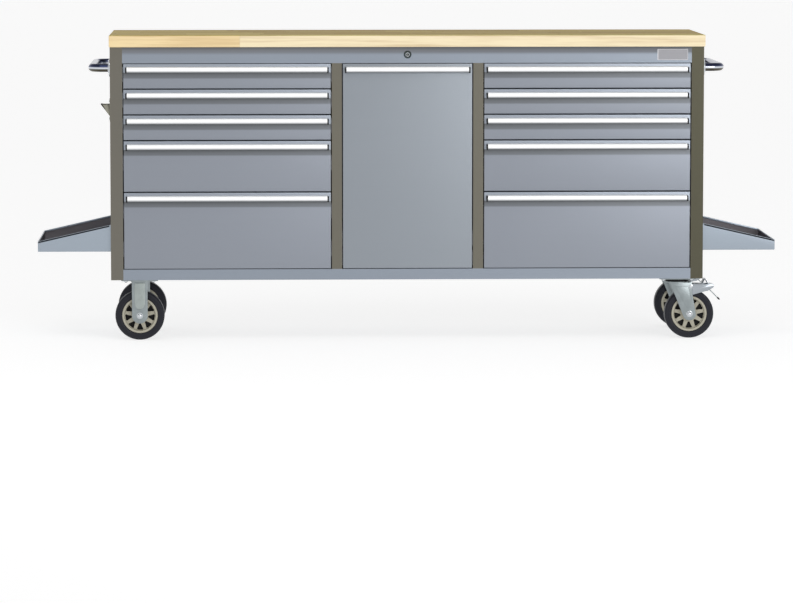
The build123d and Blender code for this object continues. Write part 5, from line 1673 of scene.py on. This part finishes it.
@dataclass
class PullOut:
    """What stands behind the tall front: deep tray, louvred wall, slotted wall, shelf and bins."""

    sheet: float = 0.0015
    tray_height: float = 0.124
    flange: float = 0.015
    louvre_drop: float = 0.066
    louvre_width: float = 0.042
    louvre_height: float = 0.027
    louvre_cut: float = 0.003
    louvre_pitch_y: float = 0.064
    louvre_pitch_z: float = 0.047
    louvre_columns: int = 5
    louvre_rows: int = 8
    louvre_rise: float = 0.0032
    slot_half: tuple[float, float] = (0.002, 0.011)
    slot_pitch: float = 0.014
    slot_edge: float = 0.032
    boxes: DrawerBox = field(default_factory=DrawerBox)

    def louvred_wall(self, x: float, y0: float, y1: float, z0: float, z1: float) -> Shape:
        """The end wall: a sheet with a folded top, cut round forty tongues that stand proud of it."""
        sheet, cut, rise = self.sheet, self.louvre_cut, x + self.louvre_rise
        wall = Shape.block("end_wall", (x, y0, z0), (x + sheet, y1, z1))
        first_y = (y0 + y1 - (self.louvre_columns - 1) * self.louvre_pitch_y) / 2
        first_z = z1 - self.louvre_drop
        half_y, half_z = self.louvre_width / 2, self.louvre_height / 2
        low_y, high_y = first_y - half_y, first_y + half_y
        low_z, high_z = first_z - half_z, first_z + half_z
        groove = [(high_y, low_z), (high_y, low_z + cut), (low_y + cut, low_z + cut),
                  (low_y + cut, high_z - cut), (high_y, high_z - cut), (high_y, high_z),
                  (low_y, high_z), (low_y, low_z)]
        inset = 1.3 * cut
        tongue = [(rise, low_y + inset), (rise, high_y - 3 * cut), (x + sheet, high_y),
                  (x + 0.0004, high_y), (rise - 0.001, low_y + inset)]
        cutter = Shape.plate("grooves", groove, x - sheet, x + 2 * sheet, "X")
        raised = Shape.plate("tongue", tongue, low_z + inset, high_z - inset, "Z").soften(0.0006)
        for shape in (cutter, raised):
            shape.array(self.louvre_columns, (0.0, self.louvre_pitch_y, 0.0))
            shape.array(self.louvre_rows, (0.0, 0.0, -self.louvre_pitch_z))
        fold = Shape.block("fold", (x, y0, z1 - sheet), (x + self.flange, y1 - sheet, z1))
        return wall.cut(cutter).join(raised, fold.soften(0.0005)).paint(Tone.LOUVRE_PAINT)

    def slotted_wall(self, x0: float, x1: float, y: float, z0: float, z1: float) -> Shape:
        """The rear wall, with pairs of upright slots near both edges, level with the louvres."""
        sheet = self.sheet
        wall = Shape.block("rear_wall", (x0, y - sheet, z0), (x1, y, z1))
        half_x, half_z = self.slot_half
        first_z = z1 - self.louvre_drop
        for side, edge in zip(SIDES, (x0 - sheet, x1 + sheet)):
            for reach in (self.slot_edge, self.slot_edge + self.slot_pitch):
                x = edge - side * reach
                slot = rounded(x - half_x, x + half_x, first_z - half_z, first_z + half_z, 0.0015)
                cutter = Shape.plate("slots", slot, y - 3 * sheet, y + sheet)
                wall.cut(cutter.array(self.louvre_rows, (0.0, 0.0, -self.louvre_pitch_z)))
        return wall.paint(Tone.LOUVRE_PAINT)

    def build(self) -> None:
        """Makes the carcass and the shelf."""
        low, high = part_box("pullout_carcass")
        slide = self.boxes.slide
        left, right = slide.walls("pullout_slides")
        start, end = slide.span()
        back = end + slide.setback
        x0, x1 = left + slide.space, right - slide.space
        rim = low.z + self.tray_height
        tray = self.boxes.tray("pull_out_tray", (x0, low.y, low.z), (x1, back, rim))
        inner_x, floor = x0 + self.sheet, low.z + self.sheet
        rear_y = back - self.sheet
        wall = self.louvred_wall(inner_x, low.y + self.sheet, rear_y, floor, high.z)
        rear = self.slotted_wall(inner_x + self.sheet, x1 - self.sheet, rear_y, floor, high.z)
        members = slide.pair(slide.inner(start, end))
        catch = self.boxes.catch(left, back, high.y, low.z + self.tray_height / 2)
        tray.join(wall, rear, catch, *slide.placed(members, "pullout_slides", "pull_out_inner"))
        for member in members:
            member.discard()
        tray.smooth().mount("pull_out", "drawer_paint", "pullout_carcass")
        low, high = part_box("pullout_shelf")
        shelf = Shape.block("pull_out_shelf", tuple(low), tuple(high))
        shelf.pick_edges(lambda c, d: c.z > high.z - NEAR).round_edges(self.boxes.corner)
        shelf.pick(lambda c, n: n.z < -FACING).drop().mend().thicken(self.sheet).smooth()
        shelf.paint(Tone.LOUVRE_PAINT).mount("pull_out", "drawer_paint", "pullout_shelf")


@dataclass
class Bins:
    """Three stacking bins with thick rims, a low nose and a holder for a card on its front."""

    count: int = 3
    gap: float = 0.006
    wall: float = 0.0025
    lip: float = 0.033
    nose: float = 0.034
    rim: float = 0.005
    rim_height: float = 0.007
    card_margin: float = 0.016
    card_low: float = 0.007
    card_high: float = 0.027
    card_frame: float = 0.003

    def one(self, x0: float, x1: float, y0: float, y1: float, z0: float, z1: float) -> Shape:
        """One bin: a tapered shell, its rim all round, and the card holder's frame."""
        rim, drop = self.rim, self.rim_height
        lip, shoulder = (x1, z0 + self.lip), (x1 - self.nose, z1)
        foot = x1 - rim - 0.003
        side = [(x0 + rim + 0.002, z0), (foot, z0), (x1 - rim, lip[1]), shoulder, (x0 + rim, z1)]
        shell = Shape.plate("bin", side, y0 + rim, y1 - rim)
        shell.pick_edges(lambda c, d: c.z < z0 + NEAR).round_edges(0.003)
        shell.pick(lambda c, n: n.z > 0.3).drop().mend().thicken(self.wall)
        slope = Vector((lip[0] - shoulder[0], lip[1] - shoulder[1])).normalized()
        band = [(x0, z1), shoulder, lip, (x1 - 0.001, lip[1] - drop),
                (shoulder[0] + slope.y * 0.002, z1 - drop), (x0, z1 - drop)]
        parts = [Shape.plate("rim", band, y, y + rim) for y in (y0, y1 - rim)]
        for x, top in ((x0, z1), (x1 - rim, lip[1])):
            parts.append(Shape.block("rim", (x, y0, top - drop), (x + rim, y1, top)))
        card = Shape.block("card", (foot, y0 + self.card_margin, z0 + self.card_low),
                           (x1 - 0.001, y1 - self.card_margin, z0 + self.card_high))
        parts.append(card.pick(lambda c, n: n.x > FACING).inset(self.card_frame, -0.0022))
        for part in parts:
            part.soften(0.0012, 3)
        return shell.join(*parts).smooth().paint(Tone.BIN)

    def build(self) -> None:
        """Makes the first bin and copies it along the shelf."""
        low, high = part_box("pullout_bins")
        width = (high.y - low.y - (self.count - 1) * self.gap) / self.count
        first = self.one(low.x, high.x, low.y, low.y + width, low.z, high.z)
        row = [first.copy("bin", (0.0, k * (width + self.gap), 0.0)) for k in range(1, self.count)]
        first.call("pull_out_bins").join(*row).mount("pull_out", "bin_plastic", "pullout_bins")


@dataclass
class Studio:
    """Pale floor, soft lights and the camera."""

    camera_at: Point = (-0.4871, -13.2655, 1.4223)
    camera_aim: Point = (-0.0348, -0.24, 0.1225)
    lens: float = 192.96
    sensor: float = 36.0
    sight: float = 100.0
    floor_half: float = 400.0
    world: float = 1.0
    zenith: float = 0.32
    horizon: float = 0.12
    overhead: float = 0.75
    lamps: tuple[tuple[str, Point, Point, tuple[float, float], float], ...] = (
        ("front_softbox", (3.6, -6.4, 1.9), (0.0, 0.0, 0.5), (4.0, 2.6), 110.0),
        ("top_softbox", (-0.6, -2.4, 3.6), (0.0, 0.0, 0.6), (3.4, 1.6), 26.0),
    )

    def floor(self) -> None:
        """Lays the pale floor, which glows a little so that it stays near white."""
        Shape.clear()
        bpy.ops.mesh.primitive_plane_add(size=2 * self.floor_half, location=(0.0, 0.0, 0.0))
        floor = Shape(bpy.context.object, "floor").paint(Tone.FLOOR)

    def sky(self) -> None:
        """Fills the room with white light, full at the horizon and dimmer overhead."""
        world = bpy.data.worlds.new("Studio_white")
        world.use_nodes = True
        nodes, links = world.node_tree.nodes, world.node_tree.links
        lamp = nodes["Background"]
        lamp.inputs["Strength"].default_value = 1.0
        height = nodes.new("ShaderNodeSeparateXYZ")
        links.new(nodes.new("ShaderNodeTexCoord").outputs["Generated"], height.inputs[0])
        fade = nodes.new("ShaderNodeValToRGB")
        fade.color_ramp.interpolation = "EASE"
        levels = ((self.horizon, self.world), (self.overhead, self.zenith))
        for stop, (place, level) in zip(fade.color_ramp.elements, levels):
            stop.position = place
            stop.color = (level, level, level, 1.0)
        links.new(height.outputs[2], fade.inputs["Fac"])
        links.new(fade.outputs["Color"], lamp.inputs["Color"])
        bpy.context.scene.world = world

    def softbox(self, name: str, place: Point, aim: Point, size: tuple[float, float],
                power: float) -> None:
        """Hangs one area light.

        Args:
            name: the light's name.
            place: where it hangs.
            aim: the point it faces.
            size: its width and height.
            power: its output in watts.
        """
        data = bpy.data.lights.new(name, "AREA")
        data.shape = "RECTANGLE"
        data.size, data.size_y = size
        data.energy = power
        self.aimed(name, data, place, aim)

    @staticmethod
    def aimed(name: str, data: bpy.types.ID, place: Point, aim: Point) -> bpy.types.Object:
        """Stands a light or a camera at a place and turns it to face a point."""
        made = bpy.data.objects.new(name, data)
        bpy.context.scene.collection.objects.link(made)
        made.location = place
        made.rotation_euler = (Vector(aim) - Vector(place)).to_track_quat("-Z", "Y").to_euler()
        return made

    def camera(self) -> None:
        """Sets the camera far off with a long lens, so that the front stays square."""
        data = bpy.data.cameras.new("camera")
        data.lens = self.lens
        data.sensor_width = self.sensor
        data.clip_end = self.sight
        bpy.context.scene.camera = self.aimed("camera", data, self.camera_at, self.camera_aim)

    def build(self) -> None:
        """Sets up the whole studio."""
        self.floor()
        self.sky()
        for lamp in self.lamps:
            self.softbox(*lamp)
        self.camera()
        bpy.context.scene.view_settings.view_transform = "Standard"


@dataclass
class Cabinet:
    """The finish of every built piece, for those that keep their shape and for the pieces' slots."""

    finishes: dict[Finish, tuple[str, ...]] = field(default_factory=lambda: {
        Tone.WOOD: ("worktop",),
        Tone.END: ("side_panels",),
        Tone.FRAME_PAINT: ("back_panel", "base_pan", "top_braces"),
        Tone.FRAME: ("front_frame",),
        Tone.POST: ("partitions",),
        Tone.SLIDE: ("cabinet_slide_rails", "lock_linkage", "pullout_slides"),
        Tone.CHROME: ("push_handles", "lock_barrel", "lock_cylinder", "front_brake_pedal",
                      "rear_brake_pedal"),
        Tone.OPENER: ("bottle_opener",),
        Tone.TRAY: ("side_trays",),
        Tone.BADGE: ("badge_plate",),
        Tone.ZINC: ("rigid_caster_forks", "swivel_caster_plates", "front_swivel_fork",
                    "rear_swivel_fork"),
        Tone.TYRE: tuple(f"{place}_{side}_wheel" for side in BAYS for place in PLACES),
        Tone.FASCIA: ("pullout_front",),
        Tone.LOUVRE_PAINT: ("pullout_carcass", "pullout_shelf"),
        Tone.BIN: ("pullout_bins",),
    })

    def build(self, nodes: dict[str, bpy.types.Object]) -> None:
        """Dresses every built node."""
        for finish, names in self.finishes.items():
            for name in names:
                dress(nodes[name], finish)
        for stem in STEMS:
            dress(nodes[f"{stem}_front"], Tone.FASCIA)
            dress(nodes[f"{stem}_box"], Tone.BOX_PAINT)
            dress(nodes[f"{stem}_slides"], Tone.SLIDE)
        LOG.info("dressed %d built nodes", len(nodes))


def main() -> None:
    """Builds the studio and the bench's pieces in order."""
    logging.basicConfig(level=logging.INFO, format="%(name)s %(message)s")
    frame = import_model()
    Studio().build()
    Cabinet().build(frame["nodes"])
    Front().build()
    Slide().build()
    DrawerBox().build()
    PullOut().build()
    Bins().build()
    Wheel().build()
    Casters().build()
    Pedal().build()
    PushHandle().build()
    SideTray().build()
    BottleOpener().build()
    Lock().build()


if __name__ == "__main__":
    main()
